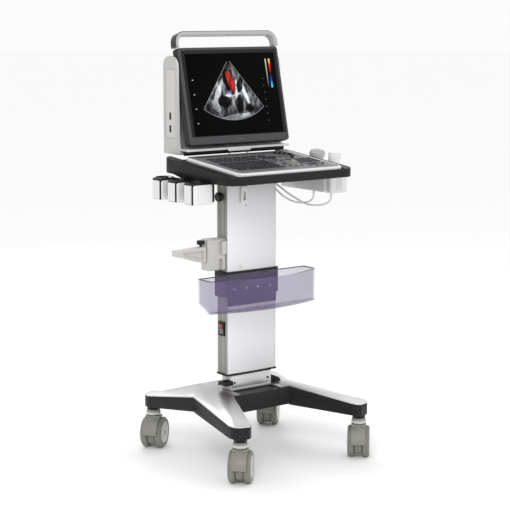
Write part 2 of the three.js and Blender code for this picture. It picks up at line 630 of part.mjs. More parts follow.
/** Carrying handle: a flat bar bent into a U above the display, on two short legs. */
function carryHandle() {
  const half = 175;
  const foot = BEZEL.top + 2 + GAP;
  const bar = new THREE.Shape();
  const r = 32;
  const thickness = 12;
  bar.moveTo(-half, foot);
  bar.lineTo(-half, HANDLE_TOP - r);
  bar.absarc(-half + r, HANDLE_TOP - r, r, Math.PI, Math.PI / 2, true);
  bar.lineTo(half - r, HANDLE_TOP);
  bar.absarc(half - r, HANDLE_TOP - r, r, Math.PI / 2, 0, true);
  bar.lineTo(half, foot);
  bar.lineTo(half - thickness, foot);
  bar.lineTo(half - thickness, HANDLE_TOP - r);
  bar.absarc(half - r, HANDLE_TOP - r, r - thickness, 0, Math.PI / 2, false);
  bar.lineTo(-half + r, HANDLE_TOP - thickness);
  bar.absarc(-half + r, HANDLE_TOP - r, r - thickness, Math.PI / 2, Math.PI, false);
  bar.lineTo(-half + thickness, foot);
  return backward(bar, 0, DISPLAY_DEPTH - 2, 6, 2);
}
part('carry_handle', carryHandle(), greyPlastic, display);

// ---------------------------------------------------------------- keyboard
const keyboard = new THREE.Group();
keyboard.position.set(0, KEYBOARD.front, KEYBOARD.frontTop);
keyboard.rotation.x = KEYBOARD_TILT;
machine.add(keyboard);
// in the keyboard's own frame: origin at the front edge of the top face, Y towards the hinge
const keyboardLength = (KEYBOARD.rear - KEYBOARD.front) / Math.cos(KEYBOARD_TILT);
const boardShape = roundedRect(2 * KEYBOARD.halfWidth, keyboardLength - 20, 22, 0, keyboardLength / 2 - 10);
const board = raise(boardShape, -KEYBOARD.thickness, 0, 5, 3);
const panelPocket = raise(roundedRect(338, keyboardLength - 34, 12, 0, keyboardLength / 2 - 9), -3, 5, 3);
const ballCentre = [52, 70];
const knobCentre = [52, 132];
const buttonShape = (grow) => roundedRect(22 + grow, 12 + grow, 4, 112, 60);
const ballPocket = rod(15, 26, 20).translate(...ballCentre, 0);
part('keyboard_base', cut(board, panelPocket, ballPocket), whitePlastic, keyboard);
const panelPlate = raise(roundedRect(338 - 2 * GAP, keyboardLength - 34 - 2 * GAP, 12, 0, keyboardLength / 2 - 9),
  -3 + GAP, 0.5, 3);
const ballHole = rod(15, 10, 20).translate(...ballCentre, 0);
const knobHole = rod(4, 10, 12).translate(...knobCentre, 0);
const buttonHole = raise(buttonShape(1.2), -5, 5, 3);
part('key_panel', cut(panelPlate, ballHole, knobHole, buttonHole), panelGrey, keyboard);

/** Letter keys standing on one thin rubber mat. */
function letterKeys() {
  const pitch = 15.5;
  const rows = 5;
  const columns = 10;
  const x0 = -150;
  const y0 = 62;
  const mat = block(x0 - 2, x0 + columns * pitch + 1, y0 - 2, y0 + rows * pitch + 1, 0.5 + GAP, 1.2);
  const keys = [];
  for (let row = 0; row < rows; row += 1) {
    for (let column = 0; column < columns; column += 1) {
      const w = pitch - 2.5;
      const [x, y] = [x0 + column * pitch, y0 + row * pitch];
      const ring = (inset, z) => [[x + inset, y + inset, z], [x + w - inset, y + inset, z],
        [x + w - inset, y + w - inset, z], [x + inset, y + w - inset, z]];
      keys.push(loft([ring(0, 1), ring(1.2, 3.6)]));
    }
  }
  return join(mat, ...keys);
}
part('letter_keys', letterKeys(), keyGrey, keyboard);
const ball = part('trackball', new THREE.SphereGeometry(12.5, 20, 12).rotateX(Math.PI / 2), greyPlastic, keyboard);
ball.position.set(...ballCentre, 1.5);
const gain = part('gain_knob', turned([[0, -2.4], [3.5, -2.4], [3.5, 0.9], [14, 0.9], [13, 8], [11.5, 9], [0, 9]], 20),
  silverPaint, keyboard);
gain.position.set(...knobCentre, 0);
part('freeze_button', raise(buttonShape(0), -1, 3.5, 3, 0.6), keyGrey, keyboard);

// ---------------------------------------------------------------- probes and cables
const PROBE_LEAN = THREE.MathUtils.degToRad(6); // the handles lean outwards, clear of the tray
const PROBE_REST = 735; // height at which a handle sits in its cup
const PROBES = [
  { name: 'linear', y: CUP_YS[0], material: whitePlastic, head: [[20, 87], [21, 107], [0, 108]] },
  { name: 'convex', y: CUP_YS[1], material: probeGrey, head: [[24, 91], [27, 101], [22, 110], [0, 114]] },
];
for (const { name, y, material, head } of PROBES) {
  const holder = new THREE.Group();
  holder.position.set(CUP_X, y, PROBE_REST);
  holder.rotation.y = PROBE_LEAN;
  machine.add(holder);
  const handle = turned([[0, 2], [6, 2], [9, 12], [11, 25], [13, 65], ...head], 16);
  part(`probe_${name}`, handle.scale(1, 0.6, 1), material, holder);
  const relief = turned([[0, -18], [3.2, -18], [4.5, -6], [5.2, 2 - GAP], [0, 2 - GAP]], 12);
  part(`strain_relief_${name}`, relief, cableGrey, holder);
}

// Each cable leaves its strain relief, sags below the tray, rests in the hook's eye, hangs in one long
// bight behind the column and climbs to its connector on the back of the main unit.
const CABLE_ROUTES = {
  linear: [
    [229.07, -52, 716.6], [228.6, -51.8, 710], [226, -47, 703], [218.8, -39.3, 697], [210, -29, 693.5],
    [201.9, -19.3, 692], [193, -9, 692.6], [184.9, 1, 695], [176, 12, 700.5], [163, 27, 711],
    [148.6, 44, 725], [136, 57, 739], [125, 72, 752], [115.5, 87, 760.5], [108, 98.5, 761.2],
    [99, 105, 757], [92, 107.5, 744], [88.5, 108, 722], [88, 108, 690], [88, 108, 540], [88, 108, 390],
    [88, 108, 250], [85, 108, 228], [77, 108, 214], [66.5, 108, 209], [56, 108, 214], [48, 108, 228],
    [45, 108, 250], [45, 108, 400], [45, 108, 550], [45, 108, 700], [45, 113, 735], [45, 130, 768],
    [45, 152, 795], [45, 174, 820], [45, 192, 845], [45, 199, 862], [45, 200, 872], [45, 200, 879.7],
  ],
  convex: [
    [229.07, 26, 716.6], [228.2, 26.1, 709], [222, 30, 699.5], [211.9, 34.6, 695.5], [200, 40.5, 693.6],
    [186, 48, 694.8], [172, 55, 699.5], [158, 63, 708], [146, 72, 719], [134, 82, 735], [124, 92.5, 750],
    [115.5, 101, 759.5], [108, 108, 761.2], [97, 117, 757], [87, 122.5, 744], [80.5, 124, 722],
    [80, 124, 690], [80, 124, 540], [80, 124, 390], [80, 124, 245], [81.5, 124, 228], [87, 124, 216],
    [96, 124, 211.5], [105, 124, 216], [110.5, 124, 228], [112, 124, 245], [112, 124, 390], [112, 124, 540],
    [112, 124, 690], [112, 128, 728], [112, 140, 762], [111.5, 158, 790], [111, 178, 818],
    [110.5, 193, 843], [110, 199, 861], [110, 200, 872], [110, 200, 879.7],
  ],
};
const CONNECTOR = { width: 46, depth: 28, bottom: 880, top: 944 };
for (const [name, route] of Object.entries(CABLE_ROUTES)) {
  part(`probe_cable_${name}`, tube(route, CABLE_DIAMETER, 8, 78), cableGrey);
  const [x] = route[route.length - 1];
  const middle = (CONNECTOR.bottom + CONNECTOR.top) / 2;
  const height = CONNECTOR.top - CONNECTOR.bottom;
  const face = roundedRect(CONNECTOR.width, height, 8, x, middle);
  const rear = UNIT.rear + GAP;
  part(`connector_${name}`, backward(face, rear, rear + CONNECTOR.depth, 3, 2), greyPlastic);
}

export default machine;
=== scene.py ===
# %% [markdown]
# # A portable ultrasound scanner on its trolley
# The real object is a folding scanner, a screen over a keyboard, clipped to a tray on a height-adjustable
# column with a four-armed base. The hard shapes come ready as solids, one per moulding, already joined
# to the bodies that move. This lesson lights them, gives every one its finish, softens their edges, and
# adds the small parts that a solid model leaves out: keys, sliders, vents, discs, screws and cables.

# %% Load the frame
import bmesh
import bpy
import json
import math
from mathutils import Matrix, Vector


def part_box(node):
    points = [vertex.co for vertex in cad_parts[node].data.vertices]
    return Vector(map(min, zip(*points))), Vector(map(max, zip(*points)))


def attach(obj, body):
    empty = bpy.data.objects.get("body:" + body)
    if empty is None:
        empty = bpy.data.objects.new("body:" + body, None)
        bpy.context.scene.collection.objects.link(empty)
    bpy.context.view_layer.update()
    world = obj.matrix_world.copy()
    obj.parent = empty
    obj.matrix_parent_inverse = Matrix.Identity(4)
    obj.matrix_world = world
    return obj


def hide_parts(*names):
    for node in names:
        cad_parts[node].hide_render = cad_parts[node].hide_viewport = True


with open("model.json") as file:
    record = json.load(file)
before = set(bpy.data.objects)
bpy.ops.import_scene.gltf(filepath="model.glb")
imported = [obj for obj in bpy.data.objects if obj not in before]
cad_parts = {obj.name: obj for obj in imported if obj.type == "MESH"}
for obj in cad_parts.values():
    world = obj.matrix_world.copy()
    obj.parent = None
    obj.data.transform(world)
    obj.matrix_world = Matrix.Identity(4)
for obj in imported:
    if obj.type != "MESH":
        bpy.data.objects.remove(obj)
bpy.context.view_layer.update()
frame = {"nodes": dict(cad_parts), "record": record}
NODES = frame["nodes"]
JOINTS = {joint["name"]: joint for joint in frame["record"]["behaviour"]["joints"]}

# %% [markdown]
# ## Camera
# A tall, narrow object is best shown from well back with a long lens, so that its uprights stay nearly
# parallel. The camera stands left of the front, a little above the screen, and looks down by nine
# degrees. Placing it by angle and distance is easier to check than dragging it by eye.

# %% Camera
VIEW_ANGLE = math.radians(36.6)
LOOK_DOWN = math.radians(9.2)
DISTANCE = 4.184
EYE_HEIGHT = 1.2439
LENS_MM = 107.5

camera_data = bpy.data.cameras.new("studio_camera")
camera_data.lens = LENS_MM
camera_data.sensor_width = 36
camera_data.clip_end = 100
camera = bpy.data.objects.new("studio_camera", camera_data)
bpy.context.collection.objects.link(camera)
camera.location = (-DISTANCE * math.sin(VIEW_ANGLE), -DISTANCE * math.cos(VIEW_ANGLE), EYE_HEIGHT)
camera.rotation_euler = (math.pi / 2 - LOOK_DOWN, 0, -VIEW_ANGLE)
bpy.context.scene.camera = camera
bpy.context.scene.view_settings.view_transform = "Standard"
print("camera at", [round(c, 3) for c in camera.location])

# %% [markdown]
# ## Shader language
# A finish is easier to read as a formula than as a web of boxes. Wire wraps one socket and answers to
# +, -, * and the other signs by adding a Math node. Outputs gives the sockets of one node, and Finish
# holds one material and makes any other node with a single method: the node's type, then its settings,
# then what goes into its sockets.

# %% Wire
class Wire:
    """One output socket that can be used in a formula."""

    def __init__(self, finish, socket):
        self.finish, self.socket = finish, socket

    def math(self, operation, *terms):
        return self.finish.node("ShaderNodeMath", {"operation": operation}, dict(enumerate(terms)))[0]

    def __add__(self, other):
        return self.math("ADD", self, other)

    def __radd__(self, other):
        return self.math("ADD", other, self)

    def __sub__(self, other):
        return self.math("SUBTRACT", self, other)

    def __rsub__(self, other):
        return self.math("SUBTRACT", other, self)

    def __mul__(self, other):
        return self.math("MULTIPLY", self, other)

    def __truediv__(self, other):
        return self.math("DIVIDE", self, other)

    def __gt__(self, other):
        return self.math("GREATER_THAN", self, other)

    def __lt__(self, other):
        return self.math("LESS_THAN", self, other)

    def both(self, other):
        return self.math("MINIMUM", self, other)

    def either(self, other):
        return self.math("MAXIMUM", self, other)

    def apply(self, operation):
        return self.math(operation, self)

    def size(self):
        return self.apply("ABSOLUTE")

    def between(self, low, high):
        """1 where low < value < high."""
        return (self > low).both(self < high)

    def ramp(self, low, high):
        """0 at low and 1 at high, with a straight rise between and no change beyond."""
        ends = {"Value": self, "From Min": low, "From Max": high}
        return self.finish.node("ShaderNodeMapRange", {"clamp": True}, ends)[0]


print("a wire answers to + - * / > <, both, either, size, between and ramp")

# %% Outputs
class Outputs:
    """The outputs of one node, by name or by number."""

    def __init__(self, finish, made):
        self.finish, self.made = finish, made

    def __getitem__(self, name):
        return Wire(self.finish, self.made.outputs[name])

    def wires(self):
        return [Wire(self.finish, socket) for socket in self.made.outputs]


print("a node's sockets are reached by name or number")

# %% Finish
class Finish:
    """One material: a Principled shader and the nodes that feed it."""

    def __init__(self, name, **shader):
        self.material = bpy.data.materials.new(name)
        self.material.use_nodes = True
        self.tree = self.material.node_tree
        self.shader = self.tree.nodes["Principled BSDF"]
        self.set(shader)
        self.place = self.node("ShaderNodeTexCoord")["Object"]
        self.x, self.y, self.z = self.node("ShaderNodeSeparateXYZ", {}, {"Vector": self.place}).wires()

    def node(self, kind, settings=None, sockets=None):
        made = self.tree.nodes.new(kind)
        for name, value in (settings or {}).items():
            if name == "stops":
                ramp = made.color_ramp
                while len(ramp.elements) < len(value):
                    ramp.elements.new(0.5)
                for element, (position, colour) in zip(ramp.elements, value):
                    element.position, element.color = position, (*colour, 1)
            else:
                setattr(made, name, value)
        for name, value in (sockets or {}).items():
            self.feed(made.inputs[name], value)
        return Outputs(self, made)

    def feed(self, socket, value):
        if isinstance(value, Wire):
            self.tree.links.new(value.socket, socket)
        elif isinstance(value, tuple) and socket.type == "RGBA":
            socket.default_value = (*value, 1)
        else:
            socket.default_value = value

    def set(self, values):
        """Values or wires for the shader's own sockets, by their names with underscores."""
        for name, value in values.items():
            self.feed(self.shader.inputs[name.replace("_", " ").title().replace("Ior", "IOR")], value)

    def noise(self, scale, detail=2.0, stretch=(1, 1, 1), roughness=0.5):
        at = self.node("ShaderNodeMapping", {}, {"Vector": self.place, "Scale": stretch})[0]
        return self.node("ShaderNodeTexNoise", {}, {"Vector": at, "Scale": scale, "Detail": detail,
                                                    "Roughness": roughness})[0]

    def cells(self, scale):
        return self.node("ShaderNodeTexVoronoi", {}, {"Vector": self.place, "Scale": scale})[0]

    def blend(self, share, first, second):
        """A colour that is first where share is 0 and second where it is 1."""
        return self.node("ShaderNodeMix", {"data_type": "RGBA"}, {0: share, 6: first, 7: second})[2]

    def bump(self, height, depth):
        relief = self.node("ShaderNodeBump", {}, {"Height": height, "Distance": depth})
        self.set({"normal": relief["Normal"]})


print("a finish starts with x, y and z in metres")

# %% Tones
def tone(red, green, blue):
    """The linear colour of a screen colour in 0..255."""
    return tuple(((c / 255 + 0.055) / 1.055) ** 2.4 if c > 10 else c / 3295 for c in (red, green, blue))


print("mid grey is", [round(c, 3) for c in tone(128, 128, 128)])

# %% [markdown]
# ## Floor and light
# White equipment on a white ground needs soft light from several sides, or its edges vanish. One large key
# lamp stands left of the camera, a weaker one fills from the right and a third skims the back. The
# floor is almost white and rough, so the trolley stands in a faint shadow.

# %% Floor
FLOOR_RADIUS = 40.0

floor_finish = Finish("studio_floor", roughness=0.9)
paper = floor_finish.noise(3.0, 3)
floor_finish.set({"base_color": floor_finish.blend(paper, (0.97, 0.97, 0.97), (0.99, 0.99, 0.99))})
floor_mesh = bpy.data.meshes.new("studio_floor")
floor_shape = bmesh.new()
bmesh.ops.create_circle(floor_shape, cap_ends=True, segments=64, radius=FLOOR_RADIUS)
floor_shape.to_mesh(floor_mesh)
floor_shape.free()
floor = bpy.data.objects.new("studio_floor", floor_mesh)
floor_mesh.materials.append(floor_finish.material)
bpy.context.collection.objects.link(floor)
print("floor radius in metres:", FLOOR_RADIUS)

# %% Light
SKY_STRENGTH = 0.97

world = bpy.data.worlds.new("studio_world")
world.use_nodes = True
sky = world.node_tree.nodes["Background"].inputs
sky["Color"].default_value = (1, 1, 1, 1)
sky["Strength"].default_value = SKY_STRENGTH
bpy.context.scene.world = world


def lamp(name, place, aim, size, watts):
    data = bpy.data.lights.new(name, "AREA")
    data.shape, data.size, data.energy = "DISK", size, watts
    made = bpy.data.objects.new(name, data)
    made.location = place
    made.rotation_euler = (Vector(aim) - Vector(place)).to_track_quat("-Z", "Y").to_euler()
    bpy.context.collection.objects.link(made)
    print(name, watts, "W")


lamp("key_lamp", (-2.4, -2.6, 2.8), (0, 0, 0.8), 1.3, 44)
lamp("fill_lamp", (1.8, -3.0, 1.6), (0, 0, 0.7), 1.8, 8)
lamp("back_lamp", (1.2, 2.6, 2.4), (0, 0, 0.9), 1.4, 14)

# %% [markdown]
# ## Places
# Three frames of reference make every later number short: the machine's own, the keyboard's, which
# rises by 5.6 degrees towards its hinge, and the display's, which leans back by 13 degrees. Each
# function takes millimetres and gives a point in metres. Two more do the reverse for a finish: they
# say how far along the keyboard or up the glass a point of the surface lies.

# %% Places
MM = 0.001
KEYBOARD_TILT = math.radians(5.6)
KEYBOARD_FRONT, KEYBOARD_TOP = -172.0, 818.0
DISPLAY_TILT = math.radians(13)
DISPLAY_DEPTH, DISPLAY_HEIGHT = 94.6, 1009.3


def machine(x, y, z):
    return Vector((x, y, z)) * MM


def board(x, y, z):
    """x to the right, y from the keyboard's front edge to the hinge, z out of its top face."""
    c, s = math.cos(KEYBOARD_TILT), math.sin(KEYBOARD_TILT)
    return machine(x, KEYBOARD_FRONT + y * c - z * s, KEYBOARD_TOP + y * s + z * c)


def display(x, y, z):
    """x to the right, y up the glass, z out of the glass."""
    c, s = math.cos(DISPLAY_TILT), math.sin(DISPLAY_TILT)
    return machine(x, DISPLAY_DEPTH + y * s - z * c, DISPLAY_HEIGHT + y * c + z * s)


def along_board(finish):
    """Millimetres from the keyboard's front edge."""
    level = (finish.y / MM - KEYBOARD_FRONT) * math.cos(KEYBOARD_TILT)
    return level + (finish.z / MM - KEYBOARD_TOP) * math.sin(KEYBOARD_TILT)


def up_display(finish):
    """Millimetres up the glass from its centre."""
    level = (finish.y / MM - DISPLAY_DEPTH) * math.sin(DISPLAY_TILT)
    return level + (finish.z / MM - DISPLAY_HEIGHT) * math.cos(DISPLAY_TILT)


print("screen centre", display(0, 0, 0)[:], "keyboard front", board(0, 0, 0)[:])

# %% [markdown]
# ## Moulded plastics
# Most of the machine is moulded plastic: a base colour that drifts a little, a gloss broken up by handling,
# and the fine grain that spark erosion leaves in a mould, as bump. One maker builds the whole family
# and only its numbers change, so a lighter or darker one is one line.

# %% Moulded plastics
FINISHES = {}
WHITE = (0.72, 0.72, 0.715)
BLACK = (0.006, 0.006, 0.0065)
KEY_TONE = tone(33, 32, 36)
# Painted shade: the darker grey of the column's flanks and of their rails.
FLANK_PAINTED_SHADE = tone(150, 149, 143)
COARSE_GRAIN = 0.00012


def moulded(name, colour, roughness, grain=2600.0, depth=0.00006, drift=0.12, **shader):
    """Moulded plastic: cloudy colour, uneven gloss and spark-eroded grain."""
    made = Finish(name, **shader)
    cloud = made.noise(9.0, 4)
    dust = made.noise(210.0, 2)
    darker = tuple(c * (1 - drift) for c in colour)
    made.set({"base_color": made.blend(cloud, darker, colour),
              "roughness": roughness - 0.05 + cloud * 0.06 + dust * 0.05})
    made.bump(made.noise(grain, 3) + made.cells(grain * 0.6) * 0.4, depth)
    FINISHES[name] = made
    return made


def white_moulding(name):
    return moulded(name, WHITE, 0.34, drift=0.04, coat_weight=0.1)


def black_moulding(name):
    return moulded(name, BLACK, 0.42, drift=0.3, specular_ior_level=0.3)


white_moulding("white_plastic")
black_moulding("deep_black")
moulded("black_plastic", (0.007, 0.0055, 0.006), 0.38, grain=1500.0, drift=0.3, specular_ior_level=0.3)
moulded("tray_plastic", (0.006, 0.006, 0.007), 0.45, grain=900.0, depth=COARSE_GRAIN, drift=0.3,
        specular_ior_level=0.25)
moulded("grey_plastic", tone(132, 132, 124), 0.42)
moulded("tyre_grey", tone(126, 125, 116), 0.55, grain=1400.0)
moulded("bezel_grey", tone(66, 64, 67), 0.36, specular_ior_level=0.2)
moulded("panel_grey", tone(122, 119, 124), 0.4, specular_ior_level=0.3)
moulded("key_grey", KEY_TONE, 0.4, specular_ior_level=0.35)
moulded("probe_grey", tone(178, 180, 180), 0.38)
moulded("cable_grey", tone(226, 227, 225), 0.45, grain=1800.0, drift=0.05)
moulded("rocker_red", tone(126, 30, 28), 0.3, coat_weight=0.4)
print("moulded finishes:", len(FINISHES))

# %% [markdown]
# ## Metals
# The column is drawn aluminium with a satin coat. Drawing leaves fine streaks along the length, which a
# noise gives when it is squeezed in two directions and stretched in the third. Painted shade darkens the
# column's front a little to the right, and its flanks are painted a duller grey as shade.

# %% Drawn metal
def drawn_metal(name, colour, roughness, metallic):
    made = Finish(name, coat_weight=0.15, coat_roughness=0.3)
    streak = made.noise(160.0, 3, stretch=(1, 1, 0.02))
    cloud = made.noise(5.0, 3)
    darker = tuple(c * 0.9 for c in colour)
    made.set({"base_color": made.blend(streak * 0.25 + cloud * 0.75, darker, colour), "metallic": metallic,
              "roughness": roughness + streak * 0.08})
    made.bump(streak, 0.00003)
    FINISHES[name] = made
    return made


FLANK_SKIN = 0.0022
SLEEVE_LIT, SLEEVE_DIM = (0.84, 0.83, 0.845), (0.68, 0.67, 0.69)

drawn_metal("steel", (0.62, 0.62, 0.63), 0.3, 0.85)
sleeve = drawn_metal("sleeve_paint", (0.74, 0.73, 0.745), 0.42, 0.25)
sleeve_low, sleeve_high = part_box("column_sleeve")
# Painted light and shade: the front runs from lit at the left to dim at the right, with cloudy patches of
# the dim tone, and the flanks take a painted shade grey.
flank = sleeve.x.size() > sleeve_high.x - FLANK_SKIN
front_painted_light = sleeve.blend(sleeve.x.ramp(sleeve_low.x, sleeve_high.x), SLEEVE_LIT, SLEEVE_DIM)
clouded_front_light = sleeve.blend(sleeve.noise(5.0, 3) * 0.4, front_painted_light, SLEEVE_DIM)
sleeve.set({"base_color": sleeve.blend(flank, clouded_front_light, FLANK_PAINTED_SHADE)})
print("sleeve is", round((sleeve_high.x - sleeve_low.x) / MM, 1), "mm wide")

# %% [markdown]
# The base cover is smooth silver paint with a clear coat and a faint flake, as on a car. Fine cells give
# the flake, and the paint is duller near the hub, where the arms shade one another.

# %% Silver paint
HUB_SHADE_FROM, HUB_SHADE_TO = 0.1, 0.27

silver = Finish("silver_paint", coat_weight=0.6, coat_roughness=0.08, metallic=0.45)
flake = silver.cells(2600.0)
from_middle = (silver.x * silver.x + silver.y * silver.y).apply("SQRT")
hub_light = from_middle.ramp(HUB_SHADE_FROM, HUB_SHADE_TO)
paint = silver.blend(flake * 0.5 + silver.noise(6.0, 3) * 0.4, (0.74, 0.74, 0.75), (0.6, 0.6, 0.61))
silver.set({"base_color": silver.blend(hub_light, tone(112, 106, 108), paint),
            "roughness": 0.26 + flake * 0.1})
silver.bump(silver.noise(900.0, 2), 0.00002)
FINISHES["silver_paint"] = silver
print("silver paint nodes:", len(silver.tree.nodes))

# %% [markdown]
# ## Violet acrylic
# The basket is clear acrylic dyed violet. Real clear plastic is darkest along its edges, where light has the
# longest way to travel, so painted shade makes the rim and the bottom edge darker and denser than the walls.

# %% Violet acrylic
RIM_BAND, FLOOR_BAND = 0.003, 0.006

acrylic = Finish("violet_acrylic", ior=1.49, coat_weight=0.3)
basket_low, basket_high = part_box("basket")
# Painted shade: the rim band and the bottom edge are coloured darker and made more opaque.
rim_edge = acrylic.z > basket_high.z - RIM_BAND
floor_edge = acrylic.z.ramp(basket_low.z + FLOOR_BAND, basket_low.z)
edge = rim_edge.either(floor_edge * 0.6)
dye = acrylic.noise(7.0, 3)
walls = acrylic.blend(dye, tone(104, 92, 134), tone(116, 102, 148))
acrylic.set({"base_color": acrylic.blend(edge, walls, tone(38, 30, 58)),
             "alpha": 0.22 + edge * 0.6 + dye * 0.04, "roughness": 0.06 + dye * 0.05})
acrylic.bump(acrylic.noise(60.0, 2), 0.00004)
FINISHES["violet_acrylic"] = acrylic
print("acrylic edge band from z", round(basket_high.z - RIM_BAND, 4))

# %% [markdown]
# ## The picture on the screen
# The display glows, so its picture is an emission colour worked out from a place on the glass. The scan is
# a fan that opens downwards from the probe at its tip: distance from the tip and angle from the
# middle say where the tissue is. All places are in millimetres from the centre of the glass.

# %% Fan
FAN_TIP = (-8.0, 98.0)
FAN_NEAR, FAN_RADIUS = 8.0, 172.0
FAN_HALF_ANGLE = math.radians(37)

glass = Finish("screen_glass", roughness=0.32, base_color=(0.001, 0.001, 0.0013), specular_ior_level=0.03)
u = glass.x / MM
v = up_display(glass)
du = u - FAN_TIP[0]
dv = FAN_TIP[1] - v
reach = (du * du + dv * dv).apply("SQRT")
turn = du.math("ARCTAN2", du, dv)
fan = (turn.size() < FAN_HALF_ANGLE).both(reach.between(FAN_NEAR, FAN_RADIUS))
print("fan is", round(2 * FAN_RADIUS * math.sin(FAN_HALF_ANGLE)), "mm wide at its foot")

# %% [markdown]
# Inside the fan, ragged ovals are the cheapest way to draw a heart: some leave dark chambers and some are
# bright walls between them. Noise pulls their edges about, another noise stretched sideways gives
# fibres, and a very fine one gives the speckle that every echo picture has.

# %% Chambers and walls
wobble = glass.noise(26.0, 4)
speckle = glass.noise(620.0, 2, roughness=0.8)
fibres = glass.noise(75.0, 5, stretch=(1.4, 1, 0.5))
ragged = (wobble - 0.5) * 3.4


def oval(centre, width, height, lean=0.0, soft=0.35):
    """1 inside a ragged oval on the glass, fading out across its edge."""
    c, s = math.cos(lean), math.sin(lean)
    along = ((u - centre[0]) * c + (v - centre[1]) * s) / width
    across = ((v - centre[1]) * c - (u - centre[0]) * s) / height
    return (along * along + across * across + ragged).ramp(1 + soft, 1 - soft)


def ovals(shapes):
    """1 inside any of several ovals."""
    found = oval(*shapes[0])
    for shape in shapes[1:]:
        found = found.either(oval(*shape))
    return found


CHAMBERS = [((-14, 34), 17, 38, 0.2, 0.2), ((22, 26), 11, 26, -0.3, 0.25), ((-38, -20), 21, 17, 0.3, 0.2),
            ((12, -32), 17, 26, 0, 0.2), ((47, -42), 13, 15, 0.4, 0.25)]
BRIGHT_WALLS = [((6, 0), 4.5, 40, -0.1), ((-8, -2), 30, 5, 0.12), ((-58, 0), 8, 40, -0.5),
                ((34, 4), 6, 40, 0.35), ((-14, -66), 66, 7, 0.12), ((-66, -34), 10, 22, 0.5)]
chambers = ovals(CHAMBERS)
bright_walls = ovals(BRIGHT_WALLS)
print("chambers:", len(CHAMBERS), "bright walls:", len(BRIGHT_WALLS))

# %% Echo
OUTLINE_WIDTH = 0.9
DIM_TISSUE, FIBRE_SHARE, WALL_SHARE, CHAMBER_DEPTH = 0.05, 0.5, 0.85, 0.96
NEAR_END, FAR_START = 40, 120

tissue = DIM_TISSUE + fibres.ramp(0.44, 0.72) * FIBRE_SHARE + bright_walls * WALL_SHARE
tissue = tissue * (1 - chambers * CHAMBER_DEPTH)
patchy = glass.noise(13.0, 3).ramp(0.3, 0.55) * 0.75 + 0.25
depth_gain = reach.ramp(0, NEAR_END) * (1 - reach.ramp(FAR_START, FAN_RADIUS) * 0.55)
echo = fan * depth_gain * tissue * (0.45 + speckle.ramp(0.3, 0.75)) * (0.6 + wobble * 0.7) * patchy
side_line = (turn.size() - FAN_HALF_ANGLE).size() * reach < OUTLINE_WIDTH
outline = fan.both(side_line.either(reach > FAN_RADIUS - 1.0))
echo = echo.either(outline * 0.35)
picture = glass.blend(echo, (0, 0, 0), (0.92, 0.95, 1.0))
print("echo drawn with", len(glass.tree.nodes), "nodes")

# %% [markdown]
# Moving blood is coloured over the grey picture: red towards the probe and blue away from it. A colour
# bar and a grey bar at the right explain the tones, and rows of short ticks give the depth.

# %% Flow
flow = (oval((-8, 36), 10, 29, 0.3, 0.6) * wobble.ramp(0.28, 0.45)).both(fan)
hot = glass.blend(fibres.ramp(0.42, 0.68), (0.26, 0.008, 0.012), (0.72, 0.07, 0.045))
back_flow = (oval((-18, 2), 10, 6, 0.7, 0.5) * speckle.ramp(0.3, 0.6) * 0.6).both(fan)
picture = glass.blend(flow.ramp(0.25, 0.6), picture, hot)
picture = glass.blend(back_flow, picture, (0.2, 0.3, 0.75))
print("flow added")

# %% Bars and ticks
BAR_LEFT, BAR_WIDTH, BAR_TOP, BAR_BOTTOM = 131.0, 6.0, 96.0, 14.0
GREY_BAR_LEFT, GREY_BAR_WIDTH = 120.0, 3.0
FLOW_TONES = [(0.0, (0.1, 0.7, 1.0)), (0.25, (0.0, 0.06, 0.6)), (0.48, (0, 0, 0)), (0.55, (0.2, 0, 0)),
              (0.8, (0.9, 0.03, 0.0)), (1.0, (1.0, 0.7, 0.1))]
TICKS_BOTTOM, TICKS_TOP = -80, 60
FINE_PITCH, COARSE_PITCH = 20, 40
PICTURE_HALF_WIDTH, PICTURE_HALF_HEIGHT = 149, 111

bar_rows = v.between(BAR_BOTTOM, BAR_TOP)
bar_height = v.ramp(BAR_BOTTOM, BAR_TOP)
bar_colour = glass.node("ShaderNodeValToRGB", {"stops": FLOW_TONES}, {"Fac": bar_height})[0]
bar = u.between(BAR_LEFT, BAR_LEFT + BAR_WIDTH).both(bar_rows)
grey_bar = u.between(GREY_BAR_LEFT, GREY_BAR_LEFT + GREY_BAR_WIDTH).both(bar_rows)
picture = glass.blend(bar, picture, bar_colour)
picture = glass.blend(grey_bar, picture, glass.blend(bar_height, (0, 0, 0), (0.8, 0.8, 0.8)))

tick_rows = v.between(TICKS_BOTTOM, TICKS_TOP)
right_ticks = u.between(104, 106).both((v / FINE_PITCH).apply("FRACT") < 0.06).both(tick_rows)
left_ticks = u.between(-138, -133).both((v / COARSE_PITCH).apply("FRACT") < 0.07).both(tick_rows)
picture = glass.blend(right_ticks.either(left_ticks) * 0.5, picture, (0.75, 0.8, 0.85))

shown = (u.size() < PICTURE_HALF_WIDTH).both(v.size() < PICTURE_HALF_HEIGHT)
glass.set({"emission_color": glass.blend(shown, (0, 0, 0), picture), "emission_strength": 1.15})
glass.bump(glass.noise(2400.0, 2), 0.00001)
FINISHES["screen_glass"] = glass
print("screen nodes:", len(glass.tree.nodes))

# %% [markdown]
# The glass seems to run on as a black border inside the grey frame. It is only paint on the frame's face,
# so a mask on the frame's own finish makes it.

# %% Black border
BORDER_HALF_WIDTH, BORDER_BOTTOM, BORDER_TOP = 162.5, -116, 124.5

bezel = FINISHES["bezel_grey"]
across = (bezel.x / MM).size() < BORDER_HALF_WIDTH
black_border = across.both(up_display(bezel).between(BORDER_BOTTOM, BORDER_TOP))
bezel.set({"base_color": bezel.blend(black_border, tone(70, 68, 71), (0.003, 0.003, 0.003)),
           "roughness": 0.38 - black_border * 0.1})
print("border is", 2 * BORDER_HALF_WIDTH, "mm wide")

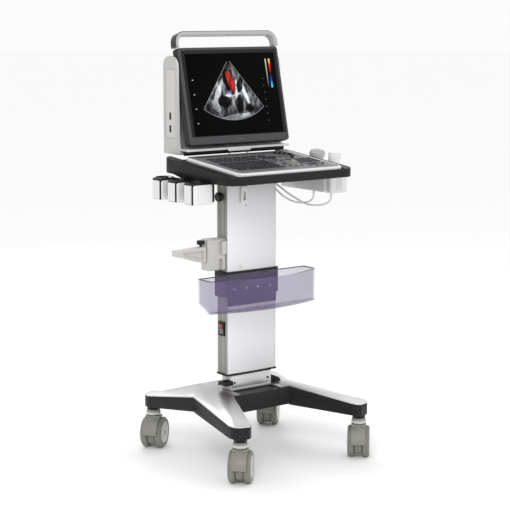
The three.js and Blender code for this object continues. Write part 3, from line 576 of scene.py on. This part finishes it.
# %% [markdown]
# ## Softening the solids
# The solids have knife edges, and nothing moulded or cast has those: a small round catches a line of light
# and tells the eye how big the part is. A stack of modifiers rounds them without touching the
# meshes: weld, dissolve the flat triangles, bevel what is left sharp, and shade the rest smooth.
# Shading needs one geometry group, because the solids carry their own flat normals, which it drops.

# %% Smooth shading
CREASE_ANGLE = math.radians(34)


def smooth_shading():
    """A geometry group that shades faces smooth and keeps the creases sharp."""
    tree = bpy.data.node_groups.new("smooth_shading", "GeometryNodeTree")
    tree.interface.new_socket("Geometry", in_out="INPUT", socket_type="NodeSocketGeometry")
    tree.interface.new_socket("Geometry", in_out="OUTPUT", socket_type="NodeSocketGeometry")
    start, end = tree.nodes.new("NodeGroupInput"), tree.nodes.new("NodeGroupOutput")
    plain = tree.nodes.new("GeometryNodeRemoveAttribute")
    plain.inputs["Name"].default_value = "custom_normal"
    faces = tree.nodes.new("GeometryNodeSetShadeSmooth")
    creases = tree.nodes.new("GeometryNodeSetShadeSmooth")
    creases.domain = "EDGE"
    creases.inputs["Shade Smooth"].default_value = False
    angle = tree.nodes.new("GeometryNodeInputMeshEdgeAngle")
    sharp = tree.nodes.new("ShaderNodeMath")
    sharp.operation = "GREATER_THAN"
    sharp.inputs[1].default_value = CREASE_ANGLE
    link = tree.links.new
    link(start.outputs[0], plain.inputs["Geometry"])
    link(plain.outputs[0], faces.inputs["Geometry"])
    link(faces.outputs[0], creases.inputs["Geometry"])
    link(angle.outputs["Unsigned Angle"], sharp.inputs[0])
    link(sharp.outputs[0], creases.inputs["Selection"])
    link(creases.outputs[0], end.inputs[0])
    return tree


SMOOTH = smooth_shading()
print("shading group nodes:", len(SMOOTH.nodes))

# %% Rounding the edges
SHARP_ANGLE = math.radians(48)
FLAT_ANGLE = math.radians(0.5)
WELD_GAP = 1e-5
EDGE_ROUND = {
    "base_top_cover": 1.6, "base_frame": 1.4, "main_casing": 1.2, "tray": 1.6, "keyboard_base": 1.0,
    "column_sleeve": 1.0, "display_shell": 1.0, "display_bezel": 0.8, "carry_handle": 1.4, "basket": 0.5,
    "letter_keys": 0.35, "key_panel": 0.3, "lcd_panel": 0.2, "column_foot": 1.0,
}
CUP_COVER_ROUND = 3.2
PLAIN_ROUND = 0.7


def round_edges(piece, width):
    """Rounds edges sharper than SHARP_ANGLE by a width in millimetres, and shades the rest smooth."""
    if width:
        bevel = piece.modifiers.new("round", "BEVEL")
        bevel.width, bevel.segments, bevel.limit_method = width * MM, 2, "ANGLE"
        bevel.angle_limit = SHARP_ANGLE
    shade = piece.modifiers.new("shade", "NODES")
    shade.node_group = SMOOTH


def soften(solid, width):
    weld = solid.modifiers.new("weld", "WELD")
    weld.merge_threshold = WELD_GAP
    flat = solid.modifiers.new("flat", "DECIMATE")
    flat.decimate_type, flat.angle_limit = "DISSOLVE", FLAT_ANGLE
    round_edges(solid, width)


EDGE_ROUND.update({name: CUP_COVER_ROUND for name in NODES if name.startswith("cup_cover")})
for name, solid in NODES.items():
    soften(solid, EDGE_ROUND.get(name, PLAIN_ROUND))
print("softened", len(NODES), "solids")

# %% [markdown]
# ## Two-tone mouldings
# Some solids are one piece in two colours: a black handle with a grey outside, a white casing with grey
# sides, black cups with painted fronts, a white keyboard with a black strip at its hinge. Each gets its
# own variant of the slot's finish, and a mask worked out from its own box says where the paint is. The
# clamp and the cups at the right are one colour, but a lighter grey and a frosted plastic of their own.

# %% Handle and casing
HANDLE_GREY = tone(168, 168, 168)
CASING_GREY = tone(176, 175, 173)

grip = moulded("handle_grip", HANDLE_GREY, 0.36)
normal = grip.node("ShaderNodeTexCoord")["Normal"]
facing = grip.node("ShaderNodeSeparateXYZ", {}, {"Vector": normal})
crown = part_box("carry_handle")[1].z - 0.03
outward = (facing[0] * grip.x > 0.05).either((facing[2] > 0.5).both(grip.z > crown))
grip.set({"base_color": grip.blend(outward, HANDLE_GREY, (0.008, 0.008, 0.009))})

shell = white_moulding("casing_white")
casing_low, casing_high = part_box("main_casing")
casing_side = shell.x.size() > casing_high.x - FLANK_SKIN
shell.set({"base_color": shell.blend(casing_side, WHITE, CASING_GREY)})
print("casing is", round((casing_high.x - casing_low.x) / MM), "mm wide")

# %% Cups
CLAMP_GREY = moulded("clamp_grey", tone(196, 194, 190), 0.4)
CUP_FROST = moulded("cup_frost", tone(214, 215, 216), 0.25, alpha=0.72)
CUP_CENTRES = (-0.052, 0.026, 0.101)
CUP_HALF_WIDTH = 0.0235
PAINT_SKIN = 0.0008
CUP_RIM = 0.006

cup_black = black_moulding("cup_black")
holder_low, holder_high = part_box("holder_left")
near = [(cup_black.y - centre).size() < CUP_HALF_WIDTH for centre in CUP_CENTRES]
near_cup = near[0].either(near[1]).either(near[2])
painted = near_cup.both(cup_black.x < holder_low.x + PAINT_SKIN).both(cup_black.z < holder_high.z - CUP_RIM)
cup_black.set({"base_color": cup_black.blend(painted, BLACK, (0.66, 0.66, 0.665))})
print("cups at y", CUP_CENTRES)

# %% [markdown]
# The letter keys are one dark rubber mat. Each cap carries a short pale dash where its marking would be:
# the fraction of a place divided by the pitch of the keys repeats the same dash on every cap.

# %% Keyboard
HINGE_STRIP_FROM, HINGE_STRIP_HALF_WIDTH = 246, 0.174
KEY_PITCH = 15.5
KEYS_LEFT, KEYS_FRONT = -150, 62

rim = white_moulding("keyboard_white")
strip = (along_board(rim) > HINGE_STRIP_FROM).both(rim.x.size() < HINGE_STRIP_HALF_WIDTH)
rim.set({"base_color": rim.blend(strip, WHITE, (0.012, 0.012, 0.013))})

marked = moulded("marked_keys", KEY_TONE, 0.4, specular_ior_level=0.35)
column_place = ((marked.x / MM - KEYS_LEFT) / KEY_PITCH).apply("FRACT")
row_place = ((along_board(marked) - KEYS_FRONT) / KEY_PITCH).apply("FRACT")
dash = ((column_place - 0.3).size() < 0.1).both((row_place - 0.58).size() < 0.055)
marked.set({"base_color": marked.blend(dash, KEY_TONE, tone(190, 190, 192))})
print("key pitch:", KEY_PITCH, "mm")

# %% [markdown]
# ## Finishes on the solids
# The record names a material slot for every solid, so each takes the finish of that name, unless one of
# the variants above was made for it.

# %% Finishes on the solids
SLOT_OF = {part["node"]: part["material_slot"] for part in frame["record"]["subparts"]}
FINISH_OF = {"letter_keys": marked, "clamp_body": CLAMP_GREY, "clamp_lever": CLAMP_GREY,
             "side_arm": CLAMP_GREY, "holder_right": CUP_FROST, "carry_handle": grip, "main_casing": shell,
             "keyboard_base": rim, "holder_left": cup_black}
for name, solid in NODES.items():
    solid.data.materials.clear()
    solid.data.materials.append(FINISH_OF.get(name, FINISHES[SLOT_OF[name]]).material)
print("slots in use:", sorted(set(SLOT_OF.values())))

# %% [markdown]
# ## Probe cables
# Each probe has a soft screened cable, about a metre and a half long. It leaves the strain relief under its
# cup, sags below the tray, rests in the cable hook, hangs in one long bight behind the column
# and climbs to its connector on the back of the scanner. A curve with a round section is the natural way
# to make it, and its points follow one smooth path through the places where it is held.

# %% Probe cables
CABLE_DIAMETER = 0.0055
CABLE_STEPS = 6
CABLE_ROUTES = {
    "linear": [
        (229.07, -52, 716.6), (228.6, -51.8, 710), (226, -47, 703), (218.8, -39.3, 697), (210, -29, 693.5),
        (201.9, -19.3, 692), (193, -9, 692.6), (184.9, 1, 695), (176, 12, 700.5), (163, 27, 711),
        (148.6, 44, 725), (136, 57, 739), (125, 72, 752), (115.5, 87, 760.5), (108, 98.5, 761.2),
        (99, 105, 757), (92, 107.5, 744), (88.5, 108, 722), (88, 108, 690), (88, 108, 540), (88, 108, 390),
        (88, 108, 250), (85, 108, 228), (77, 108, 214), (66.5, 108, 209), (56, 108, 214), (48, 108, 228),
        (45, 108, 250), (45, 108, 400), (45, 108, 550), (45, 108, 700), (45, 113, 735), (45, 130, 768),
        (45, 152, 795), (45, 174, 820), (45, 192, 845), (45, 199, 862), (45, 200, 872), (45, 200, 879.7),
    ],
    "convex": [
        (229.07, 26, 716.6), (228.2, 26.1, 709), (222, 30, 699.5), (211.9, 34.6, 695.5), (200, 40.5, 693.6),
        (186, 48, 694.8), (172, 55, 699.5), (158, 63, 708), (146, 72, 719), (134, 82, 735), (124, 92.5, 750),
        (115.5, 101, 759.5), (108, 108, 761.2), (97, 117, 757), (87, 122.5, 744), (80.5, 124, 722),
        (80, 124, 690), (80, 124, 540), (80, 124, 390), (80, 124, 245), (81.5, 124, 228), (87, 124, 216),
        (96, 124, 211.5), (105, 124, 216), (110.5, 124, 228), (112, 124, 245), (112, 124, 390),
        (112, 124, 540), (112, 124, 690), (112, 128, 728), (112, 140, 762), (111.5, 158, 790),
        (111, 178, 818),
        (110.5, 193, 843), (110, 199, 861), (110, 200, 872), (110, 200, 879.7),
    ],
}


print("route points:", {name: len(route) for name, route in CABLE_ROUTES.items()})

# %% Laying the cables
def smooth_path(points, steps):
    """Points on a centripetal Catmull-Rom curve, which passes through every given point without loops."""
    knots = [points[0] * 2 - points[1], *points, points[-1] * 2 - points[-2]]
    path = []
    for a, b, c, d in zip(knots, knots[1:], knots[2:], knots[3:]):
        t1 = (b - a).length ** 0.5
        t2 = t1 + (c - b).length ** 0.5
        t3 = t2 + (d - c).length ** 0.5
        for step in range(steps):
            t = t1 + (t2 - t1) * step / steps
            ab, bc, cd = a.lerp(b, t / t1), b.lerp(c, (t - t1) / (t2 - t1)), c.lerp(d, (t - t2) / (t3 - t2))
            abc, bcd = ab.lerp(bc, t / t2), bc.lerp(cd, (t - t1) / (t3 - t1))
            path.append(abc.lerp(bcd, (t - t1) / (t2 - t1)))
    return [*path, points[-1]]


def lay_cable(name, route):
    path = smooth_path([machine(*point) for point in route], CABLE_STEPS)
    curve = bpy.data.curves.new(f"cable_{name}", "CURVE")
    curve.dimensions, curve.bevel_depth, curve.bevel_resolution = "3D", CABLE_DIAMETER / 2, 5
    curve.use_fill_caps = True
    line = curve.splines.new("POLY")
    line.points.add(len(path) - 1)
    for point, place in zip(line.points, path):
        point.co = (*place, 1)
    line.use_smooth = True
    cable = bpy.data.objects.new(f"cable_{name}", curve)
    bpy.context.collection.objects.link(cable)
    curve.materials.append(FINISHES["cable_grey"].material)
    length = sum((b - a).length for a, b in zip(path, path[1:]))
    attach(cable, "column")
    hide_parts(f"probe_cable_{name}")
    return length


for name, route in CABLE_ROUTES.items():
    print(name, "cable is", round(lay_cable(name, route), 3), "m long")

# %% [markdown]
# ## Making small parts
# Keys, vents, discs and screws are all either a flat outline raised to a height or a profile turned about
# an axis. Two helpers add such a body to a shared mesh through any frame of reference, and a
# third closes the mesh, rounds its edges, gives it a finish and joins it to the body it moves with.

# %% Outlines
def rounded(width, depth, radius, x=0.0, y=0.0, steps=4):
    """The outline of a rounded rectangle about (x, y)."""
    right, back = width / 2 - radius, depth / 2 - radius
    outline = []
    for cx, cy, start in ((right, back, 0), (-right, back, 90), (-right, -back, 180), (right, -back, 270)):
        for step in range(steps + 1):
            angle = math.radians(start + 90 * step / steps)
            outline.append((x + cx + radius * math.cos(angle), y + cy + radius * math.sin(angle)))
    return outline


def disc(radius, x=0.0, y=0.0, steps=16):
    turns = [2 * math.pi * i / steps for i in range(steps)]
    return [(x + radius * math.cos(turn), y + radius * math.sin(turn)) for turn in turns]


print("a rounded outline has", len(rounded(2, 2, 0.5)), "points")

# %% Raised outlines and turned profiles
def raise_outline(mesh, outline, low, high, place, taper=0.0):
    """A closed prism between two heights; taper draws the upper face in by that many millimetres."""
    cx = sum(x for x, _ in outline) / len(outline)
    cy = sum(y for _, y in outline) / len(outline)
    far = max(math.hypot(x - cx, y - cy) for x, y in outline)
    shrink = 1 - taper / far
    below = [mesh.verts.new(place(x, y, low)) for x, y in outline]
    above = [mesh.verts.new(place(cx + (x - cx) * shrink, cy + (y - cy) * shrink, high)) for x, y in outline]
    mesh.faces.new(below[::-1])
    mesh.faces.new(above)
    for i in range(len(outline)):
        j = (i + 1) % len(outline)
        mesh.faces.new((below[i], below[j], above[j], above[i]))


def turn_profile(mesh, profile, place, steps=24):
    """A closed body turned about the local z axis from (radius, height) points; its ends may lie on it."""
    turns = [2 * math.pi * i / steps for i in range(steps)]
    rings = []
    for radius, height in profile:
        spots = [(radius * math.cos(turn), radius * math.sin(turn)) for turn in (turns if radius else [0])]
        rings.append([mesh.verts.new(place(x, y, height)) for x, y in spots])
    pairs = list(zip(rings, rings[1:]))
    if len(rings[0]) > 1 and len(rings[-1]) > 1:
        pairs.append((rings[-1], rings[0]))
    for a, b in pairs:
        for i in range(steps):
            j = (i + 1) % steps
            ring = [a[i % len(a)], a[j % len(a)], b[j % len(b)], b[i % len(b)]]
            ring = [vert for n, vert in enumerate(ring) if vert not in ring[:n]]
            mesh.faces.new(ring)


print("prisms and turned bodies ready")

# %% Finishing a part
def finish_part(mesh, name, body, slot, edge=0.25, finish=None):
    """Turns the shared mesh into one named piece that rides on a body."""
    bmesh.ops.recalc_face_normals(mesh, faces=mesh.faces)
    data = bpy.data.meshes.new(name)
    mesh.to_mesh(data)
    mesh.free()
    piece = bpy.data.objects.new(name, data)
    bpy.context.collection.objects.link(piece)
    round_edges(piece, edge)
    data.materials.append((finish or FINISHES[slot]).material)
    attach(piece, body)
    print(name, "has", len(data.polygons), "faces on", body)


print("parts have", len(SMOOTH.nodes), "shading nodes each")

# %% [markdown]
# ## Keys
# The control panel is crowded: soft keys under the screen and in front of the letter keys, a block of keys
# at the right, and round keys about the trackball. Each group is one rubber or plastic moulding on the
# real machine, so each group is one piece here, made from a few rows of (x, y, count, size, pitch).

# %% Soft keys and side keys
PANEL_TOP = 0.5
KEY_RISE = 2.4
KEY_TAPER = 0.9


def key_row(mesh, x, y, count, width, depth, pitch):
    for i in range(count):
        cap = rounded(width, depth, 1.2, x + i * pitch, y, 2)
        raise_outline(mesh, cap, PANEL_TOP, PANEL_TOP + KEY_RISE, board, KEY_TAPER)


SOFT_ROWS = [(-142, 158, 10, 12, 8, 15.5), (-142, 176, 10, 12, 7, 15.5), (-134, 196, 7, 24, 9, 29),
             (-142, 46, 2, 13, 11, 15.5), (-14, 46, 2, 12, 11, 15.5)]
SIDE_ROWS = [*((90, 84 + row * 15, 5, 11, 9, 15.5) for row in range(4)),
             (20, 158, 4, 12, 8, 16), (20, 176, 4, 12, 7, 16)]

soft_keys = bmesh.new()
for row in SOFT_ROWS:
    key_row(soft_keys, *row)
space_bar = rounded(88, 11, 2, -70, 46, 3)
raise_outline(soft_keys, space_bar, PANEL_TOP, PANEL_TOP + KEY_RISE, board, 0.8)
finish_part(soft_keys, "soft_keys", "keyboard", "key_grey")

side_keys = bmesh.new()
for row in SIDE_ROWS:
    key_row(side_keys, *row)
finish_part(side_keys, "side_keys", "keyboard", "key_grey")

# %% Round keys and rings
TRACKBALL, GAIN_KNOB = (52, 70), (52, 132)
RING_KEYS_RADIUS = 27
ROUND_KEY_PLACES = [(24, 132), (80, 132), (24, 112), (80, 112), (92, 60), (132, 60), (150, 60), (92, 42),
                    (112, 38), (132, 42)]
TRACKBALL_RING = [(15.2, 0.55), (15.2, 2.4), (17, 2.8), (19, 2.2), (19.6, 0.55)]
KNOB_RING = [(15.4, 0.55), (15.4, 1.6), (17.4, 1.6), (18, 0.55)]

round_keys = bmesh.new()
caps = [disc(5.6, x, y) for x, y in ROUND_KEY_PLACES]
for angle in map(math.radians, range(20, 360, 40)):
    caps.append(disc(5.2, TRACKBALL[0] + RING_KEYS_RADIUS * math.cos(angle),
                     TRACKBALL[1] + RING_KEYS_RADIUS * math.sin(angle)))
for cap in caps:
    raise_outline(round_keys, cap, PANEL_TOP, 3.0, board, 0.8)
ROUND_KEY = moulded("round_key", tone(72, 70, 75), 0.35)
finish_part(round_keys, "round_keys", "keyboard", "panel_grey", finish=ROUND_KEY)

rings = bmesh.new()
for profile, (cx, cy) in ((TRACKBALL_RING, TRACKBALL), (KNOB_RING, GAIN_KNOB)):
    turn_profile(rings, profile, lambda x, y, z: board(x + cx, y + cy, z), 32)
finish_part(rings, "control_rings", "keyboard", "silver_paint")

# %% [markdown]
# Eight sliders set the gain at eight depths. Each is a slot with a knob on it, and the knobs stand in the
# gentle curve that an operator leaves them in. A dark line marks the edge of the palm rest, and a row
# of slots along the hinge lets the loudspeaker out.

# %% Sliders and grilles
SLIDER_COUNT, SLIDER_X, SLIDER_FIRST_Y, SLIDER_PITCH = 8, 124, 152, 10
KNOB_CURVE, KNOB_MIDDLE = 22, 112
GRILLE_COUNT, GRILLE_LEFT, GRILLE_PITCH, GRILLE_Y = 26, -150, 12, 232

sliders = bmesh.new()
for i in range(SLIDER_COUNT):
    y = SLIDER_FIRST_Y + i * SLIDER_PITCH
    knob = rounded(8, 6.5, 1, KNOB_MIDDLE + KNOB_CURVE * math.sin(0.5 * i), y, 2)
    raise_outline(sliders, rounded(58, 2.4, 1.1, SLIDER_X, y, 2), PANEL_TOP, 0.9, board)
    raise_outline(sliders, knob, 0.95, 6.0, board, 1.2)
finish_part(sliders, "gain_sliders", "keyboard", "key_grey", finish=FINISHES["deep_black"])

grilles = bmesh.new()
raise_outline(grilles, rounded(300, 1.6, 0.7, -4, 26, 2), PANEL_TOP, 0.9, board)
for i in range(GRILLE_COUNT):
    slot = rounded(3.2, 18, 1.4, GRILLE_LEFT + i * GRILLE_PITCH, GRILLE_Y, 2)
    raise_outline(grilles, slot, PANEL_TOP, 0.8, board)
finish_part(grilles, "panel_grilles", "keyboard", "panel_grey", finish=FINISHES["deep_black"])

# %% [markdown]
# ## Casing details
# The scanner's casing has grey inset panels in its two sides, each with two ports, and a tongue on the
# ledge that catches the folded keyboard. Each face gets a small frame of reference of its own, so that
# a part of it is an outline on that face and a height out of it.

# %% Sides and tongue
LEFT_FACE, RIGHT_FACE = casing_low.x / MM, casing_high.x / MM
RECESS = 1.5
SIDE_MIDDLE = 152
INSET = rounded(44, 188, 9, SIDE_MIDDLE, 985, 5)
INSET_THICKNESS = 1.1
PORT_HEIGHTS = (916, 951)
GAP = 0.05
LEDGE_FRONT = 73.0
TONGUE = [(-46, 862.6), (-36, 852.5), (36, 852.5), (46, 862.6)]


def on_left(x, y, z):
    """x along the depth, y up, z out of the left recess."""
    return machine(LEFT_FACE + RECESS - z, x, y)


def on_right(x, y, z):
    """x along the depth, y up, z out of the right recess."""
    return machine(RIGHT_FACE - RECESS + z, x, y)


for label, place in (("left", on_left), ("right", on_right)):
    inset = bmesh.new()
    raise_outline(inset, INSET, GAP, INSET_THICKNESS, place)
    finish_part(inset, f"side_inset_{label}", "column", "white_plastic", 0.4, finish=CLAMP_GREY)

ports = bmesh.new()
for height in PORT_HEIGHTS:
    for place in (on_left, on_right):
        port = rounded(9, 20, 2, SIDE_MIDDLE, height, 3)
        raise_outline(ports, port, INSET_THICKNESS + GAP, 1.45, place)
finish_part(ports, "side_ports", "column", "deep_black", 0.1)

tongue = bmesh.new()
raise_outline(tongue, TONGUE, GAP, 1.6, lambda x, y, z: machine(x, LEDGE_FRONT - z, y))
finish_part(tongue, "latch_tongue", "column", "white_plastic", 0.5)

# %% [markdown]
# At the back, two rows of slots cool the electronics, and two plates carry the probe connectors, with three
# small sockets beside them. They are thin raised shapes, dark enough to read as openings.

# %% Back
REAR_FACE = casing_high.y / MM
VENT_COUNT, VENT_LEFT, VENT_PITCH = 22, -158, 8
VENT_ROWS = (905, 951)
CONNECTOR_PLATES, PLATE_MIDDLE = (45, 110), 912
SMALL_SOCKETS, SOCKET_ROW = (-140, -110, -80), 872


def on_rear(x, y, z):
    """x to the right, y up, z out of the casing's back."""
    return machine(x, REAR_FACE + z, y)


vents = bmesh.new()
for height in VENT_ROWS:
    for i in range(VENT_COUNT):
        vent = rounded(3, 34, 1.4, VENT_LEFT + i * VENT_PITCH, height, 2)
        raise_outline(vents, vent, GAP, 0.35, on_rear)
finish_part(vents, "rear_vents", "column", "deep_black", 0.08)

sockets = bmesh.new()
for x in CONNECTOR_PLATES:
    raise_outline(sockets, rounded(58, 78, 6, x, PLATE_MIDDLE), GAP, 0.28, on_rear)
for x in SMALL_SOCKETS:
    raise_outline(sockets, rounded(18, 9, 1.5, x, SOCKET_ROW, 3), GAP, 0.6, on_rear)
finish_part(sockets, "rear_sockets", "column", "panel_grey", 0.08)

# %% [markdown]
# ## Casters
# Each wheel carries a pale dished disc on its outer side, turned from one profile about its own axle: the
# joint gives the axle's direction, and the wheel's side of the swivel says which way is out. A pale
# collar hides each swivel bearing.

# %% Wheel discs
CASTERS = ("front_left", "front_right", "rear_left", "rear_right")
PALE_GREY = moulded("wheel_disc", tone(190, 190, 184), 0.4)
WHEEL_FACE = 10.0
DISC_PROFILE = [(5.2, -0.3), (9, 0.1), (30, -1.4), (31.5, -1.0), (31.5, -0.1), (27, 0.4), (10, 1.4),
                (5.2, 1.4)]
UP = Vector((0, 0, 1))

for caster in CASTERS:
    pivot = Vector(JOINTS[f"swivel_{caster}"]["pos_m"])
    for side in ("left", "right"):
        low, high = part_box(f"caster_wheel_{caster}_{side}")
        centre = (low + high) / 2
        axle = Vector(JOINTS[f"roll_{caster}_{side}"]["axis"]).normalized()
        if (centre - pivot).dot(axle) < 0:
            axle.negate()
        level = UP.cross(axle).normalized()
        hub = bmesh.new()
        turn_profile(hub, [(radius, WHEEL_FACE + height) for radius, height in DISC_PROFILE],
                     lambda x, y, z: centre + (level * x + UP * y + axle * z) * MM, 28)
        finish_part(hub, f"wheel_disc_{caster}_{side}", f"wheel_{caster}_{side}", "grey_plastic", 0.2,
                    finish=PALE_GREY)

# %% Swivel collars
COLLAR_PROFILE = [(19.3, 99.4), (20.6, 100), (20.6, 107), (19.3, 108)]

for caster in CASTERS:
    pivot = Vector(JOINTS[f"swivel_{caster}"]["pos_m"]) / MM
    collar = bmesh.new()
    turn_profile(collar, COLLAR_PROFILE, lambda x, y, z: machine(pivot.x + x, pivot.y + y, z), 32)
    finish_part(collar, f"swivel_collar_{caster}", f"caster_{caster}", "grey_plastic", 0.2, finish=PALE_GREY)

# %% [markdown]
# ## Column trims
# The drawn column has cover screws and a small white hook on its front and raised rails along its flanks.
# A screw is a domed head with a hexagonal socket on the real machine; a turned profile with a round
# hollow is enough at this size.

# %% Screws and hook
FRONT_FACE = sleeve_low.y / MM
COVER_SCREWS = [(-20, 706, 3.0), (-60, 768, 2.4), (60, 768, 2.4)]
HOOK_X = -39
SCREW_PROFILE = [(1, 0), (1, 0.35), (0.8, 0.62), (0.45, 0.7), (0.42, 0.25), (0, 0.25)]


def on_front(x, y, z):
    """x to the right, y up, z out of the column's front face."""
    return machine(x, FRONT_FACE - z, y)


def screw(mesh, x, y, radius, place, low=0.1):
    """A domed head with a hollow sunk in it."""
    dome = [(radius * width, low + radius * rise) for width, rise in SCREW_PROFILE]
    turn_profile(mesh, [(0, low), *dome], lambda a, b, c: place(x + a, y + b, c), 18)


front_screws = bmesh.new()
for x, height, radius in COVER_SCREWS:
    screw(front_screws, x, height, radius, on_front)
finish_part(front_screws, "front_screws", "column", "steel", 0.1)

hook = bmesh.new()
raise_outline(hook, rounded(5, 11, 2, HOOK_X, 537, 3), 0.1, 2.2, on_front)
raise_outline(hook, rounded(5, 4, 1.5, HOOK_X, 534, 3), 2.25, 6.5, on_front)
finish_part(hook, "front_hook", "column", "white_plastic", 0.3)

# %% Flank rails
RAIL_DEPTHS, RAIL_LENGTH, RAIL_MIDDLE = (29.5, 49.0), 540, 508
FLANK_GROOVE = 1.5

rails = bmesh.new()
for side in (-1, 1):
    for depth in RAIL_DEPTHS:
        raise_outline(rails, rounded(2.2, RAIL_LENGTH, 1, depth, RAIL_MIDDLE, 2), GAP, 0.9,
                      lambda x, y, z: machine(side * (sleeve_high.x / MM - FLANK_GROOVE + z), x, y))
# The rails take the flanks' painted shade grey.
finish_part(rails, "flank_rails", "column", "steel", 0.15, finish=moulded("rail_painted_shade", FLANK_PAINTED_SHADE, 0.4))

# %% [markdown]
# ## Bracket, foot and inlet
# Four screws hold the basket's black bracket, and below the bracket's front plate a dark sheet, down to the
# basket's floor, is painted shade. A steel plate with two screws closes the front of the column's foot.
# Under the basket, the mains inlet has a socket with three pins.

# %% Basket bracket
BRACKET_SCREWS, BRACKET_SCREW_HEIGHT = (-62, -20, 20, 62), 474
SHADE_SHEET = rounded(168, 25, 2, 0, 439, 2)
bracket_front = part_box("basket_bracket")[0].y / MM

bracket_screws = bmesh.new()
for x in BRACKET_SCREWS:
    screw(bracket_screws, x, BRACKET_SCREW_HEIGHT, 3.2, lambda a, b, c: machine(a, bracket_front - c, b))
finish_part(bracket_screws, "bracket_screws", "column", "steel", 0.1)

# Painted shade: a black sheet on the column's front, where the basket and its bracket cast shade.
shade_sheet = bmesh.new()
raise_outline(shade_sheet, SHADE_SHEET, 0.3, 1.7, on_front)
finish_part(shade_sheet, "basket_shade_sheet", "column", "deep_black", 0.2)

# %% Foot plate
PLATE_HEIGHT = 206
PLATE_THICKNESS = 0.85
foot_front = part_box("column_foot")[0].y / MM


def on_foot(x, y, z):
    """x to the right, y up, z out of the foot's front face."""
    return machine(x, foot_front - z, y)


foot_plate = bmesh.new()
raise_outline(foot_plate, rounded(134, 30, 2, 0, PLATE_HEIGHT, 2), 0.1, 0.8, on_foot)
finish_part(foot_plate, "foot_plate", "base", "steel", 0.2)

foot_screws = bmesh.new()
for x in (-58, 58):
    screw(foot_screws, x, PLATE_HEIGHT, 3.0, lambda a, b, c: on_foot(a, b, PLATE_THICKNESS + c))
finish_part(foot_screws, "foot_screws", "base", "deep_black", 0.1)

# %% Mains socket
inlet_low, inlet_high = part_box("power_inlet")
INLET_FACE = inlet_low.x / MM
INLET_MIDDLE = (inlet_low.y + inlet_high.y) / 2 / MM
SOCKET_HEIGHT = inlet_low.z / MM + 13
PIN_OFFSETS = ((-5, 2), (5, 2), (0, -2.5))


def on_inlet(x, y, z):
    """x along the depth, y up, z out of the inlet's face."""
    return machine(INLET_FACE - z, x, y)


socket = bmesh.new()
raise_outline(socket, rounded(18, 15, 3, INLET_MIDDLE, SOCKET_HEIGHT, 3), GAP, 0.5, on_inlet)
for x, y in PIN_OFFSETS:
    pin = rounded(1.6, 4, 0.5, INLET_MIDDLE + x, SOCKET_HEIGHT + y, 2)
    raise_outline(socket, pin, 0.55, 1.6, on_inlet)
finish_part(socket, "mains_socket", "column", "panel_grey", 0.1)

# %% [markdown]
# ## Pedal, cups and lamps
# Rubber treads keep a shoe from slipping off the height pedal. The clear cup at the right front is ribbed
# upright, and its ribs follow the bow of its face. The black cups at the left have raised lips, and three
# small lamps sit on the lower edge of the screen's frame.

# %% Pedal treads
TREAD_COUNT, TREAD_PITCH = 4, 5.2
PEDAL_TOP, PEDAL_INNER_END = 215.0, -72.5
pedal_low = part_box("release_pedal")[0] / MM

treads = bmesh.new()
for i in range(TREAD_COUNT):
    y = pedal_low.y + 5 + i * TREAD_PITCH
    tread = rounded(18, 1.6, 0.7, (pedal_low.x + PEDAL_INNER_END) / 2, y, 2)
    raise_outline(treads, tread, GAP, 0.9, lambda a, b, c: machine(a, b, PEDAL_TOP + c))
finish_part(treads, "pedal_treads", "pedal", "deep_black", 0.1)

# %% Cups
RIB_PITCH, RIB_HEIGHT, FACE_BOW = 5.4, 756, 3.4
cover_low, cover_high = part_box("cup_cover_right_1")
COVER_MIDDLE = (cover_low.x + cover_high.x) / 2 / MM
LIP_PROFILE = [(22.6, 790.1), (25.6, 790.1), (25.6, 791.2), (24.4, 791.9), (22.9, 791.4)]
LEFT_CUPS_X = -231

ribs = bmesh.new()
for i in range(-4, 5):
    bow = FACE_BOW * (i / 4) ** 2
    rib = rounded(2.0, 36, 0.9, COVER_MIDDLE + i * RIB_PITCH, RIB_HEIGHT, 2)
    raise_outline(ribs, rib, -1.0 - bow, 0.7 - bow, lambda x, y, z: machine(x, cover_low.y / MM - z, y))
finish_part(ribs, "cup_ribs_right", "column", "white_plastic", 0.2, finish=CUP_FROST)

lips = bmesh.new()
for centre in CUP_CENTRES:
    turn_profile(lips, LIP_PROFILE, lambda x, y, z: machine(LEFT_CUPS_X + x, centre / MM + y, z), 32)
finish_part(lips, "cup_lips_left", "column", "deep_black", 0.1)

# %% Bezel lamps
LAMP_PROFILE = [(0, 1.05), (1.5, 1.05), (1.2, 1.5), (0, 1.6)]
LAMP_DROP = -127

bezel_lamps = bmesh.new()
for lamp_x in (-6, 0, 6):
    turn_profile(bezel_lamps, LAMP_PROFILE, lambda x, y, z: display(lamp_x + x, LAMP_DROP + y, z), 16)
finish_part(bezel_lamps, "bezel_lamps", "display", "grey_plastic", 0.1)
